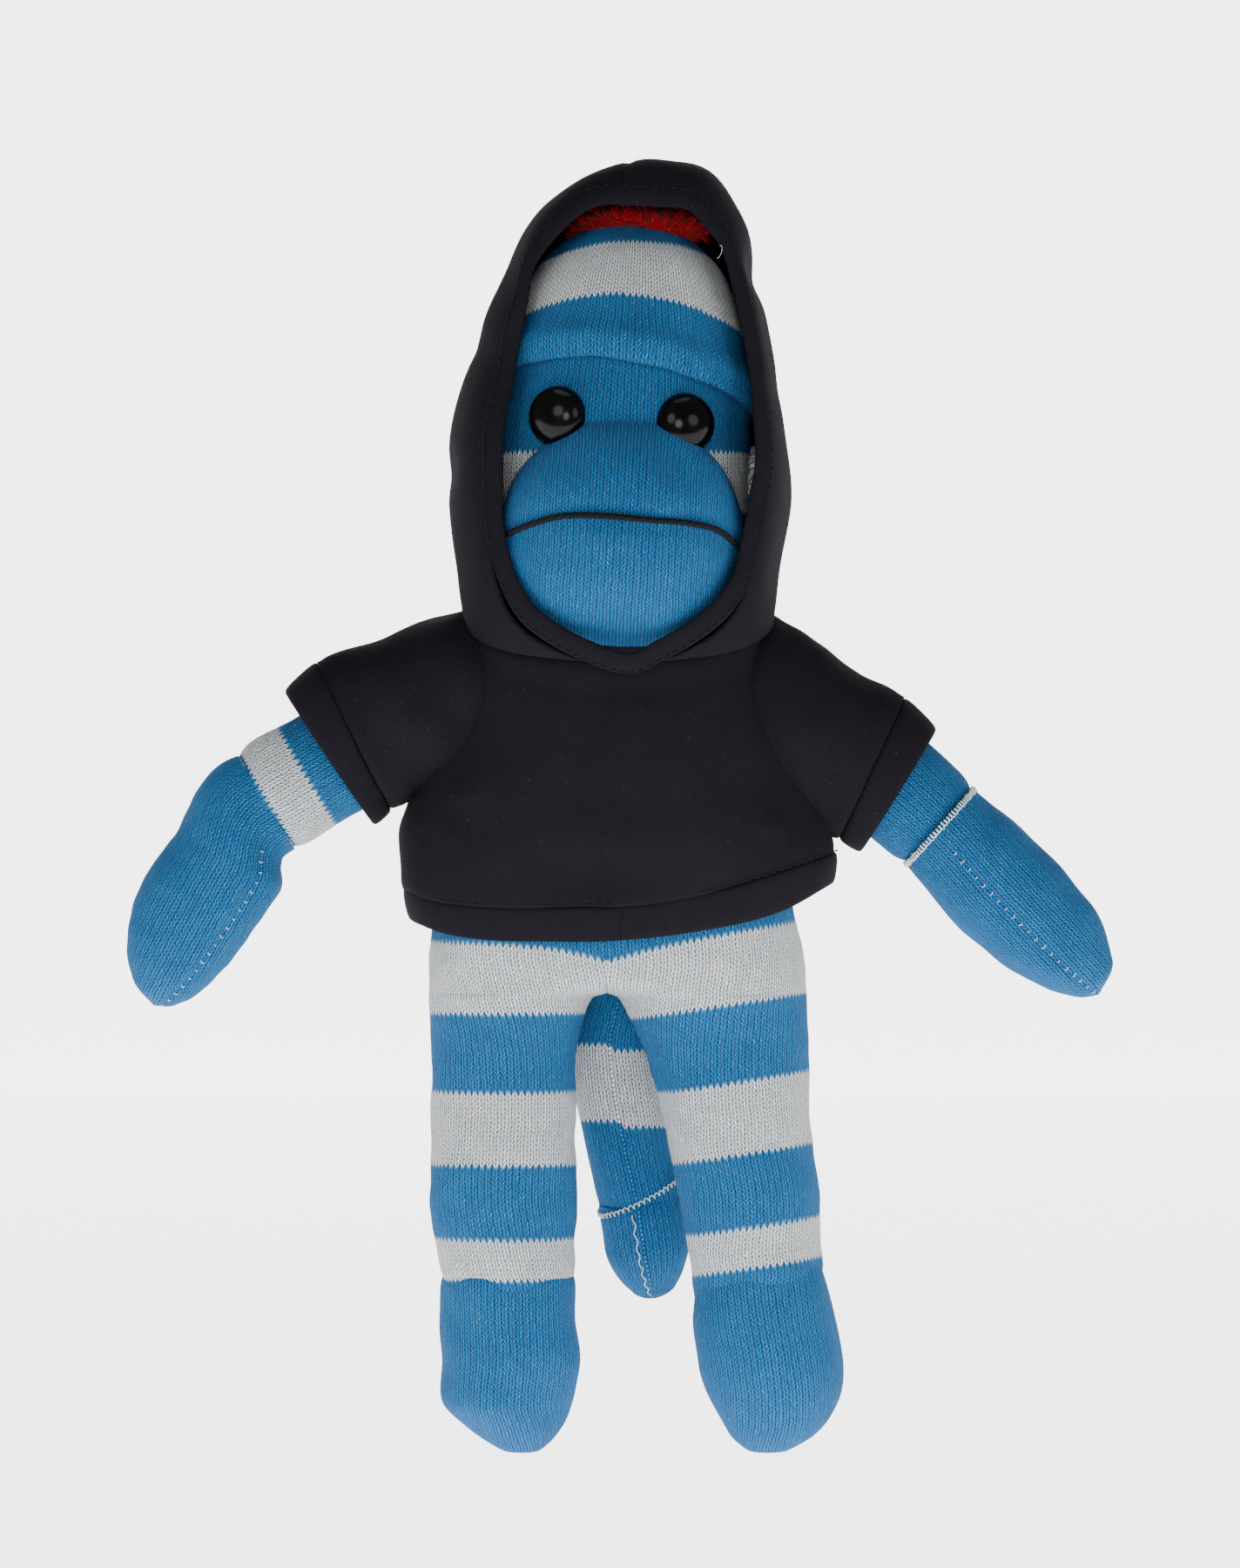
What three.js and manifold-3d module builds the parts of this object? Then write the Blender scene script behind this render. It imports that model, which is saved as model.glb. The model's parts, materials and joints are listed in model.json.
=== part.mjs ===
// A stuffed sock monkey, 254 mm tall, in a hooded sweatshirt with short sleeves.
// Frame: millimetres, +Z up, the toy faces -Y and its own left side is +X. The soles stand on z = 0.
// Skins and fleece panels are thin shells, the fibre filling of each lump is a solid inside its skin.
import * as THREE from "three";
import { mergeVertices } from "three/addons/utils/BufferGeometryUtils.js";
import Module from "manifold-3d";

const wasm = await Module();
wasm.setup();

// ---------------------------------------------------------------- driving dimensions, mm
const middleY = 1.2; // the middle plane of the torso and the limbs
const knitWall = 1.2; // one layer of knitted sock
const fleeceWall = 2; // one layer of sweatshirt fleece
const hemWall = 2.8; // fleece folded twice, at the hems
const seamGap = 0.4; // between pieces that are sewn or pressed together
const jointGap = 0.9; // between pieces that turn against each other
const threadRadius = 0.5; // the white overlock thread at the cuffs of the pouches
const yarnRadius = 0.65; // the black yarn of the mouth

const hipHeight = 84;
const hipSpread = 21.5; // from the middle to each hip
const ankleHeight = 34.8;
const legSplay = { right: 0, left: 6.4 }; // degrees outwards
const legForward = 85; // how far each leg swings forward from hanging, degrees
const legBack = 6;
const legShape = { root: 14.3, end: 13.4, flat: 1, segments: 14 };
const footShape = { root: 13.5, belly: 13.9, bellyAt: 0.55, tip: 0.42, flat: 1, sole: 7, segments: 14 };

const shoulderHeight = 151.5;
const shoulderSpread = 31;
const armLength = { right: 45.4, left: 42 }; // from the shoulder to the cuff of the mitt
const armDrop = { right: 31.1, left: 42.1 }; // degrees below level
const mittDrop = { right: 60.3, left: 44.4 };
const armDown = 8; // how far each arm swings down from rest, degrees
const armUp = 55; // and how far up
const armShape = { root: 10.2, end: 11.3, flat: 0.88, segments: 14 };
const mittLength = 45;
const mittShape = {
  right: { root: 11.6, belly: 12.9, bellyAt: 0.5, tip: 0.4, flat: 0.86, segments: 14 },
  left: { root: 11.6, belly: 12.6, bellyAt: 0.4, tip: 0.56, flat: 0.86, segments: 14 },
};

const tailHeight = 94;
const tailBehind = 12.5; // from the middle plane to the root of the tail
const tailLength = 46;
const tailTipLength = 21;
const tailSlant = 12.5; // degrees back from hanging
const tailLean = 8; // degrees to the toy's left
const tailForward = 3; // how far the tail swings forward from rest, degrees
const tailBack = 70; // and how far back
const tailShape = { root: 8, end: 8.3, flat: 1, segments: 12 };
const tailTipShape = { root: 8.4, belly: 8.4, bellyAt: 0.3, tip: 0.6, flat: 1, segments: 12 };

const sleeveEnd = 26; // along the arm, from the shoulder
const cuffEnd = 32;
const sleeveRadius = 13.6; // at the shoulder
const cuffRadius = 14.4;

const neckHeight = 165;
const neckTilt = 20; // the neckline leans forward by this, degrees
const necklineGap = 6.8; // room for the nod, at the neckline
const neckRingDrop = 8.4; // how far the gathering thread lies below the neck
const headRoll = 3.3; // degrees towards the toy's left

const eyeRadius = 5.35;
const eyeHeight = 37.2; // above the neck
const eyeSpread = 12.4;
const postRadius = 1.5;
const postLength = 6.5;
const washerRadius = 4.2;
const washerThickness = 1.2;

const muzzleRadii = [23.4, 18.5, 23];
const muzzlePlace = [-0.4, -17.5, 15.3];
const mouthHeight = 18.3;
const mouthDroop = 4.6; // how far the corners of the mouth hang
const mouthHalf = 21.3;
const earRadii = [3.4, 8, 9.5];
const earPlace = [26.6, 2, 25];
const pompomRadii = [15.5, 9, 8.5];
const pompomPlace = [-1, 6, 74];

// Sections from the bottom up: height, half width, half depth, middle in X and in Y.
const torsoSections = [
  [86, 13, 8, 0, 1.5],
  [91, 25, 13.5, 0, 1],
  [100, 32.5, 18.5, 0, 0.5],
  [112, 33.5, 20, 0, 0],
  [132, 25.8, 19, 0, 0],
  [neckHeight - 23, 22.5, 16, 0, 0.5],
  [neckHeight - 16, 17, 12.5, 0, 1.5],
  [neckHeight - 11, 11, 8.8, 0, 3],
];
const hoodieSections = [
  [100.8, 42.5, 26, 0, 0],
  [107.5, 42.8, 26.3, 0, 0],
  [118, 41.2, 26, 0, 0],
  [130, 38, 25.5, 0, 0],
  [neckHeight - 23, 35.5, 26, 0, 0],
  [neckHeight - 11, 33, 27, 0, 0],
  [neckHeight, 31.5, 27.5, 0, 0],
  [neckHeight + 11, 31, 27.5, 0, 0],
];
// The hood, above the neck.
const hoodSections = [
  [-17, 27, 28.5, -0.5, -1],
  [-8, 30, 30, -0.5, -1.5],
  [3, 31.5, 30.5, -0.7, -1],
  [16, 33.2, 31, -0.7, 0],
  [25, 33.7, 31, -0.9, 0.5],
  [42, 31.2, 30, -0.4, 1],
  [59, 27.3, 28.5, 1.1, 1.5],
  [71, 23.2, 26.5, 2.3, 2],
  [81, 18.2, 21.5, 3, 2],
  [87, 10, 11.5, 5.2, 2],
  [89, 4, 4, 6.2, 2],
];
// The head and the hat, above the neck, in the head's own frame.
const headSections = [
  [-6, 9, 7.5, 0, 3.5],
  [0, 14, 13.5, 0, 1.5],
  [6, 19.5, 17.5, -0.7, -0.5],
  [14, 24, 21, -1.5, -1.5],
  [25, 25.6, 23, -1.8, -1.5],
  [37, 25, 23, -2, -1],
  [49, 23, 21.5, -2, 0],
  [60, 20, 19, -2, 0.5],
  [68, 15.5, 15, -2, 0.8],
  [73.5, 7, 7, -2, 1],
];
const hatCuffBottom = 48;
const hatCuffTop = 61;
const hatWall = 1.6;
const hatCuffWall = 2.5;
// The face opening of the hood, from the chin round by the toy's left: X, and Z above the neck.
const faceOpening = [
  [1.7, -7.8],
  [12.6, -3.5],
  [21.6, 6.5],
  [24.8, 19],
  [26, 36],
  [24.4, 52],
  [21.6, 66.5],
  [18.6, 73.5],
  [12.3, 79.2],
  [-5.5, 80.2],
  [-13.5, 72.8],
  [-18.6, 60.5],
  [-20.7, 46],
  [-22.7, 31],
  [-23, 16.5],
  [-18.4, 3],
  [-9, -4.6],
];
const faceHemWidth = 4.6;

const sides = { right: -1, left: 1 }; // the sign of X

// ---------------------------------------------------------------- shape helpers

const radians = THREE.MathUtils.degToRad;

/** A closed three.js geometry as a solid that can be cut and joined. */
function toSolid(geometry) {
  const bare = geometry.index ? geometry.toNonIndexed() : geometry.clone();
  bare.deleteAttribute("normal");
  bare.deleteAttribute("uv");
  const merged = mergeVertices(bare, 1e-4);
  return new wasm.Manifold(
    new wasm.Mesh({
      numProp: 3,
      vertProperties: merged.attributes.position.array,
      triVerts: new Uint32Array(merged.index.array),
    }),
  );
}

/** A solid as a three.js geometry, without the slivers that cuts leave. */
function toGeometry(solid) {
  const mesh = solid.simplify(0.02).getMesh();
  const geometry = new THREE.BufferGeometry();
  geometry.setAttribute("position", new THREE.BufferAttribute(mesh.vertProperties, 3));
  geometry.setIndex(new THREE.BufferAttribute(mesh.triVerts, 1));
  return geometry;
}

/** Turns a closed profile of [radius, height] points, in either order, about the Z axis. */
function turned(profile, segments) {
  const points = profile.map(([radius, height]) => new THREE.Vector2(radius, height));
  if (THREE.ShapeUtils.area(points) < 0) points.reverse();
  return new THREE.LatheGeometry(points, segments).rotateX(Math.PI / 2);
}

/** A solid through oval sections, closed at both ends. */
function lofted(sections, segments) {
  const rows = [sections[0], ...sections, sections.at(-1)];
  const profile = rows.map(([z], row) => [row === 0 || row === rows.length - 1 ? 0 : 1, z]);
  const geometry = turned(profile, segments);
  const place = geometry.attributes.position;
  for (let i = 0; i < place.count; i += 1) {
    const [, halfWidth, halfDepth, middleOfX, middleOfY] = rows[i % rows.length];
    place.setX(i, middleOfX + place.getX(i) * halfWidth);
    place.setY(i, middleOfY + place.getY(i) * halfDepth);
  }
  return geometry;
}

/** The same sections moved outwards, or inwards where by is negative, with the two ends moved by their own steps. */
function grown(sections, by, bottomBy = by, topBy = by) {
  return sections.map(([z, halfWidth, halfDepth, x, y], row) => {
    const step = row === 0 ? -bottomBy : row === sections.length - 1 ? topBy : 0;
    return [z + step, halfWidth + by, halfDepth + by, x, y];
  });
}

/** The section at a height, between the two sections around it. */
function sectionAt(sections, z) {
  const above = Math.max(1, sections.findIndex((section) => section[0] >= z));
  const [low, high] = [sections[above - 1], sections[above]];
  const share = (z - low[0]) / (high[0] - low[0]);
  return low.map((value, i) => value + (high[i] - value) * share);
}

/** A ball, used to cut the socket of a limb, with its poles in front and behind. */
function ball(radius, x, y, z) {
  return new THREE.SphereGeometry(radius, 18, 10).rotateX(Math.PI / 2).translate(x, y, z);
}

/** An ellipsoid with its poles up and down. */
function ellipsoid([a, b, c], [x, y, z], grow = 0, segments = 18) {
  const sphere = new THREE.SphereGeometry(1, segments, Math.round(segments * 0.6)).rotateX(Math.PI / 2);
  return sphere.scale(a + grow, b + grow, c + grow).translate(x, y, z);
}

/** A rod along the direction from one point, for cuts. */
function rod(radius, length, from, direction) {
  const rodGeometry = new THREE.CylinderGeometry(radius, radius, length, 18).translate(0, length / 2, 0);
  const turn = new THREE.Quaternion().setFromUnitVectors(new THREE.Vector3(0, 1, 0), direction);
  return rodGeometry.applyQuaternion(turn).translate(from.x, from.y, from.z);
}

/** Everything on one side of a plane through a point, as a large slab. */
function halfSpace(point, normal, size = 700) {
  const slab = new THREE.BoxGeometry(size, size, size).translate(0, 0, size / 2);
  const turn = new THREE.Quaternion().setFromUnitVectors(new THREE.Vector3(0, 0, 1), normal);
  return slab.applyQuaternion(turn).translate(point.x, point.y, point.z);
}

/** A prism along Y over a smooth closed outline of X and Z points, grown outwards from its middle. */
function prism(outline, grow, fromY, toY) {
  const middle = new THREE.Vector2();
  outline.forEach(([x, z]) => middle.add(new THREE.Vector2(x, z).divideScalar(outline.length)));
  const points = outline.map(([x, z]) => {
    const place = new THREE.Vector2(x, z);
    return place.add(place.clone().sub(middle).normalize().multiplyScalar(grow));
  });
  const smooth = new THREE.SplineCurve([...points, points[0]]).getPoints(28).slice(0, -1);
  const shape = new THREE.Shape(smooth);
  const depth = toY - fromY;
  return new THREE.ExtrudeGeometry(shape, { depth, bevelEnabled: false })
    .rotateX(Math.PI / 2)
    .translate(0, toY, 0);
}

// ---------------------------------------------------------------- materials

const finish = (color, roughness, metalness = 0) =>
  new THREE.MeshStandardMaterial({ color, roughness, metalness });
const materials = {
  blueKnit: finish(0x2f86b4, 0.9),
  stripedKnit: finish(0x86aebf, 0.9),
  redYarn: finish(0x8e1018, 0.95),
  blackYarn: finish(0x0d0e12, 0.85),
  whiteThread: finish(0xd8dadc, 0.8),
  fleece: finish(0x222126, 0.95),
  filling: finish(0xeeeeea, 1),
  glossPlastic: finish(0x080809, 0.12),
  clearPlastic: finish(0xd9dde0, 0.35),
};

/** A named mesh of one sub-part. */
function part(name, geometry, material) {
  const mesh = new THREE.Mesh(geometry, materials[material]);
  mesh.name = name;
  return mesh;
}

/** A group at a place, holding parts and other groups. */
function assembly(x, y, z, ...children) {
  const group = new THREE.Group();
  group.position.set(x, y, z);
  group.add(...children);
  return group;
}

// ---------------------------------------------------------------- stuffed limbs

/** Points on the round root of a limb, from its opening down to its widest place. */
function rootArc(radius, opening) {
  const steps = 3;
  return Array.from({ length: steps }, (_, i) => {
    const angle = radians(opening + ((90 - opening) * i) / steps);
    return [radius * Math.sin(angle), radius * Math.cos(angle)];
  });
}

/** The tube of a limb, hanging down from its pivot to the seam, hollowed there for the pouch below it. */
function limbTube(shape, length, pouch) {
  const opening = 42;
  const skin = [...rootArc(shape.root, opening), [shape.root, 0], [shape.end, -length]];
  const inside = skin.map(([r, z]) => [r - knitWall, z]).reverse();
  const seamRoom = toSolid(
    ball(pouch.root + 2 * threadRadius + seamGap + jointGap, 0, 0, -length).scale(1, shape.flat, 1),
  );
  const cut = (profile) =>
    toGeometry(toSolid(turned(profile, shape.segments).scale(1, shape.flat, 1)).subtract(seamRoom));
  const layer = knitWall + seamGap;
  const core = [
    [0, -length],
    [shape.end - layer, -length],
    [shape.root - layer, 0],
    ...rootArc(shape.root - layer, 0).reverse(),
  ];
  return { skin: cut([...inside, ...skin, inside[0]]), filling: cut(core) };
}

/** The outline of a closed pouch from its tip, or its flat sole, up to its opening. */
function pouchOutline(shape, length, inset, opening) {
  const sole = shape.sole ? shape.sole - inset / 2 : 0;
  const depth = shape.tip * length;
  const round = shape.belly - inset - sole;
  const points = [0, 0.45, 0.78, 0.95].map((share) => [
    sole + round * share,
    inset - length + depth * (1 - Math.sqrt(1 - share * share)),
  ]);
  const arc = rootArc(shape.root - inset, opening).reverse();
  const middle = sole > 0 ? [[0, inset - length]] : [];
  return [...middle, ...points, [shape.belly - inset, -length * shape.bellyAt], ...arc];
}

/** A stuffed mitt, foot or tail end: a pouch hanging from its seam, its filling and the thread round its cuff. */
function pouchParts(shape, length) {
  const opening = 46;
  const outside = pouchOutline(shape, length, 0, opening);
  const inside = pouchOutline(shape, length, knitWall, opening).reverse();
  const flatten = (geometry) => geometry.scale(1, shape.flat, 1);
  const core = [...pouchOutline(shape, length, knitWall + seamGap, 24), [0, shape.root - knitWall - seamGap]];
  const cuff = new THREE.TorusGeometry(shape.root + seamGap + threadRadius, threadRadius, 5, 16);
  return {
    skin: flatten(turned([...outside, ...inside], shape.segments)),
    filling: flatten(turned(core, shape.segments)),
    thread: flatten(cuff),
  };
}

/** The group of one limb: its tube and, at the seam, the pouch that bends against it. */
function limb(names, tubeShape, length, pouchShape, pouchLength, bend) {
  const tube = limbTube(tubeShape, length, pouchShape);
  const pouch = pouchParts(pouchShape, pouchLength);
  const end = assembly(
    0,
    0,
    -length,
    part(`${names.end}_knit`, pouch.skin, "blueKnit"),
    part(`${names.end}_filling`, pouch.filling, "filling"),
    part(`${names.thread}_thread`, pouch.thread, "whiteThread"),
  );
  end.rotation.y = bend;
  return [
    part(`${names.tube}_knit`, tube.skin, "stripedKnit"),
    part(`${names.tube}_filling`, tube.filling, "filling"),
    end,
  ];
}

/** A leg, hanging from the hip, with a flat sole on the floor. */
function leg(side) {
  const sign = sides[side];
  const splay = radians(legSplay[side]);
  const length = (hipHeight - ankleHeight) / Math.cos(splay);
  const names = { tube: `${side}_leg`, end: `${side}_foot`, thread: `${side}_ankle` };
  const group = assembly(
    sign * hipSpread,
    middleY,
    hipHeight,
    ...limb(names, legShape, length, footShape, ankleHeight, sign * splay),
  );
  group.rotation.y = -sign * splay;
  return group;
}

/** The angle that turns a limb hanging straight down to one that points this far below level. */
function fromHanging(side, drop) {
  return -sides[side] * radians(90 - drop);
}

/** The direction of an arm that points this far below level. */
function armDirection(side, drop) {
  return new THREE.Vector3(sides[side] * Math.cos(radians(drop)), 0, -Math.sin(radians(drop)));
}

const shoulder = (side) => new THREE.Vector3(sides[side] * shoulderSpread, 0, shoulderHeight);

/** An arm in its sleeve, hanging from the shoulder. */
function arm(side) {
  const names = { tube: `${side}_arm`, end: `${side}_mitt`, thread: `${side}_wrist` };
  const bend = fromHanging(side, mittDrop[side]) - fromHanging(side, armDrop[side]);
  const group = assembly(
    sides[side] * shoulderSpread,
    middleY,
    shoulderHeight,
    ...limb(names, armShape, armLength[side], mittShape[side], mittLength, bend),
    ...sleeve(side),
  );
  group.rotation.y = fromHanging(side, armDrop[side]);
  return group;
}

/** A short sleeve, round at the shoulder, and the hem at its end. */
function sleeve(side) {
  const opening = 48;
  const outside = [...rootArc(sleeveRadius, opening), [cuffRadius, -sleeveEnd]];
  const inside = [...rootArc(sleeveRadius - fleeceWall, opening), [cuffRadius - fleeceWall, -sleeveEnd]];
  const proud = hemWall - fleeceWall;
  const [hemTop, inner, outer] = [-sleeveEnd - seamGap, cuffRadius - fleeceWall, cuffRadius + proud];
  const hem = [
    [inner, hemTop],
    [outer, hemTop],
    [outer, -cuffEnd],
    [inner, -cuffEnd],
    [inner, hemTop],
  ];
  return [
    part(`${side}_sleeve`, turned([...outside, ...inside.reverse(), outside[0]], 18), "fleece"),
    part(`${side}_sleeve_hem`, turned(hem, 18), "fleece"),
  ];
}

/** The tail, hanging behind the hips. */
function tail() {
  const names = { tube: "tail", end: "tail_tip", thread: "tail_seam" };
  const group = assembly(
    0,
    middleY + tailBehind,
    tailHeight,
    ...limb(names, tailShape, tailLength, tailTipShape, tailTipLength, 0),
  );
  group.rotation.copy(tailTurned);
  return group;
}

// ---------------------------------------------------------------- torso and sweatshirt

/** Cuts the room that a round limb needs about its pivot, over a swing about the X axis, positive backwards. */
function withRoomFor(solid, pivot, radius, hanging, fromAngle, toAngle) {
  const steps = 5;
  let cut = solid.subtract(toSolid(ball(radius, pivot.x, pivot.y, pivot.z)));
  for (let step = 0; step < steps; step += 1) {
    const swing = radians(fromAngle + ((toAngle - fromAngle) * step) / (steps - 1));
    const direction = hanging.clone().applyAxisAngle(new THREE.Vector3(1, 0, 0), swing);
    cut = cut.subtract(toSolid(rod(radius, 50, pivot, direction)));
  }
  return cut;
}

/** Cuts the sockets of the sleeved arms, the legs and the tail out of a torso solid. */
function withSockets(solid) {
  let cut = solid;
  for (const [side, sign] of Object.entries(sides)) {
    const { x, y, z } = shoulder(side);
    const hip = new THREE.Vector3(sign * hipSpread, 0, hipHeight);
    const splay = radians(legSplay[side]);
    const hanging = new THREE.Vector3(sign * Math.sin(splay), 0, -Math.cos(splay));
    cut = cut.subtract(toSolid(ball(sleeveRadius + jointGap, x, y, z)));
    cut = withRoomFor(cut, hip, legShape.root + jointGap, hanging, -legForward, legBack);
  }
  const tailRoot = new THREE.Vector3(0, tailBehind, tailHeight);
  return largest(withRoomFor(cut, tailRoot, tailShape.root + jointGap, tailDirection, -tailForward, tailBack));
}

/** The skin and the filling of the torso. */
function torso() {
  const skin = toSolid(lofted(torsoSections, 20)).subtract(
    toSolid(lofted(grown(torsoSections, -knitWall, -knitWall, 5), 20)),
  );
  const layer = -knitWall - seamGap;
  const core = toSolid(lofted(grown(torsoSections, layer, layer, -1), 20));
  return [
    part("torso_knit", toGeometry(withSockets(skin)), "stripedKnit"),
    part("torso_filling", toGeometry(withSockets(core)), "filling"),
  ];
}

const neckUp = new THREE.Vector3(0, -Math.sin(radians(neckTilt)), Math.cos(radians(neckTilt)));
const neckMiddle = new THREE.Vector3(0, 0, neckHeight);

/** A point above the neck, or below it where up is negative, along the neck's own axis. */
const alongNeck = (up) => neckMiddle.clone().addScaledVector(neckUp, up);

/** The front and back panels of the sweatshirt with their hem, cut free of the sleeves wherever those swing. */
function sweatshirt() {
  const hemTop = hoodieSections[1][0];
  const up = new THREE.Vector3(0, 0, 1);
  const room = toSolid(lofted(grown(hoodieSections, -fleeceWall, 5, 5), 24));
  const shell = toSolid(lofted(hoodieSections, 24)).subtract(room);
  const hemBand = toSolid(lofted(grown(hoodieSections, hemWall - fleeceWall, 0), 24))
    .subtract(room)
    .subtract(toSolid(halfSpace(new THREE.Vector3(0, 0, hemTop - seamGap), up)));
  let panels = shell
    .subtract(toSolid(halfSpace(new THREE.Vector3(0, 0, hemTop), up.clone().negate())))
    .subtract(toSolid(halfSpace(alongNeck(-necklineGap / 2), neckUp)));
  const sleeveRoom = cuffRadius + hemWall - fleeceWall + jointGap;
  for (const side of Object.keys(sides)) {
    const from = shoulder(side);
    panels = panels.subtract(toSolid(ball(sleeveRadius + jointGap, from.x, from.y, from.z)));
    for (const swing of [-armUp, -armUp / 2, 0, armDown]) {
      const direction = armDirection(side, armDrop[side] + swing);
      const start = from.clone().addScaledVector(direction, 4);
      panels = panels.subtract(toSolid(rod(sleeveRoom, 60, start, direction)));
    }
  }
  const half = (sign) =>
    panels.subtract(toSolid(halfSpace(new THREE.Vector3(0, (sign * seamGap) / 2, 0), new THREE.Vector3(0, -sign, 0))));
  return [
    part("sweatshirt_front", toGeometry(largest(half(-1))), "fleece"),
    part("sweatshirt_back", toGeometry(largest(half(1))), "fleece"),
    part("sweatshirt_waist_hem", toGeometry(hemBand), "fleece"),
  ];
}

/** The largest separate body of a solid. */
function largest(solid) {
  return solid.decompose().reduce((best, body) => (body.volume() > best.volume() ? body : best));
}

/** The gathering thread round the neck, under the neckline. */
function neckThread() {
  const ring = new THREE.TorusGeometry(8.6, 0.8, 5, 16);
  const mesh = part("neck_gathering_thread", ring, "whiteThread");
  mesh.position.set(0, middleY + torsoSections.at(-1)[4], neckHeight - neckRingDrop);
  return mesh;
}

// ---------------------------------------------------------------- head

const tailTurned = new THREE.Euler(radians(tailSlant), radians(-tailLean), 0);
const tailDirection = new THREE.Vector3(0, 0, -1).applyEuler(tailTurned);

const headTurned = new THREE.Matrix4().makeRotationY(radians(headRoll)).setPosition(0, 0, neckHeight);

/** A point on the front of the head at X and a height above the neck, and the direction that it faces. */
function onFace(x, z) {
  const [, halfWidth, halfDepth, middleOfX, middleOfY] = sectionAt(headSections, z);
  const across = (x - middleOfX) / halfWidth;
  const deep = Math.sqrt(1 - across * across);
  return {
    place: new THREE.Vector3(x, middleOfY - halfDepth * deep, z),
    facing: new THREE.Vector3(across / halfWidth, -deep / halfDepth, 0.006).normalize(),
  };
}

/** A safety eye, its washer and the room that they take in the head. */
function eye(side) {
  const middle = sectionAt(headSections, eyeHeight)[3];
  const { place, facing } = onFace(middle + sides[side] * eyeSpread, eyeHeight);
  const turn = new THREE.Quaternion().setFromUnitVectors(new THREE.Vector3(0, 0, 1), facing);
  const proud = seamGap + 0.9; // the flat back of the dome stands this far off the curved knit
  const dome = [0, 0.42, 0.72, 0.92, 1].map((share) => [
    eyeRadius * Math.sin((share * Math.PI) / 2),
    proud + 0.5 + 3.9 * Math.cos((share * Math.PI) / 2),
  ]);
  const profile = [[0, -postLength], [postRadius, -postLength], [postRadius, proud], [eyeRadius, proud], ...dome.reverse()];
  const washerTop = -knitWall - seamGap - 0.5;
  const hole = postRadius + 0.3;
  const washer = [
    [hole, washerTop - washerThickness],
    [washerRadius, washerTop - washerThickness],
    [washerRadius, washerTop],
    [hole, washerTop],
    [hole, washerTop - washerThickness],
  ];
  const set = (geometry) => geometry.applyQuaternion(turn).translate(place.x, place.y, place.z);
  const backwards = facing.clone().negate();
  return {
    parts: [
      part(`${side}_eye`, set(turned(profile, 18)), "glossPlastic"),
      part(`${side}_eye_washer`, set(turned(washer, 14)), "clearPlastic"),
    ],
    postRoom: toSolid(rod(hole, 12, place.clone().addScaledVector(facing, 2), backwards)),
    washerRoom: toSolid(rod(washerRadius + seamGap, 9, place.clone().addScaledVector(facing, 1), backwards)),
    domeRoom: (gap) => toSolid(rod(eyeRadius + gap, 14, place.clone().addScaledVector(facing, 0.6 - gap), facing)),
  };
}

/** The black yarn of the mouth, laid across the front of the muzzle. */
function mouthYarn() {
  const [a, b, c] = muzzleRadii.map((radius) => radius + yarnRadius + 0.3);
  const [x0, y0, z0] = muzzlePlace;
  const points = Array.from({ length: 9 }, (_, i) => {
    const x = mouthHalf * (i / 4 - 1);
    const z = mouthHeight - mouthDroop * (x / mouthHalf) ** 2;
    const y = y0 - b * Math.sqrt(1 - ((x - x0) / a) ** 2 - ((z - z0) / c) ** 2);
    return new THREE.Vector3(x, y, z);
  });
  const circle = new THREE.Shape().absarc(0, 0, yarnRadius, 0, 2 * Math.PI);
  const shape = new THREE.Shape(circle.getPoints(2).slice(0, -1));
  return new THREE.ExtrudeGeometry(shape, {
    steps: 16,
    bevelEnabled: false,
    extrudePath: new THREE.CatmullRomCurve3(points),
  });
}

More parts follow.
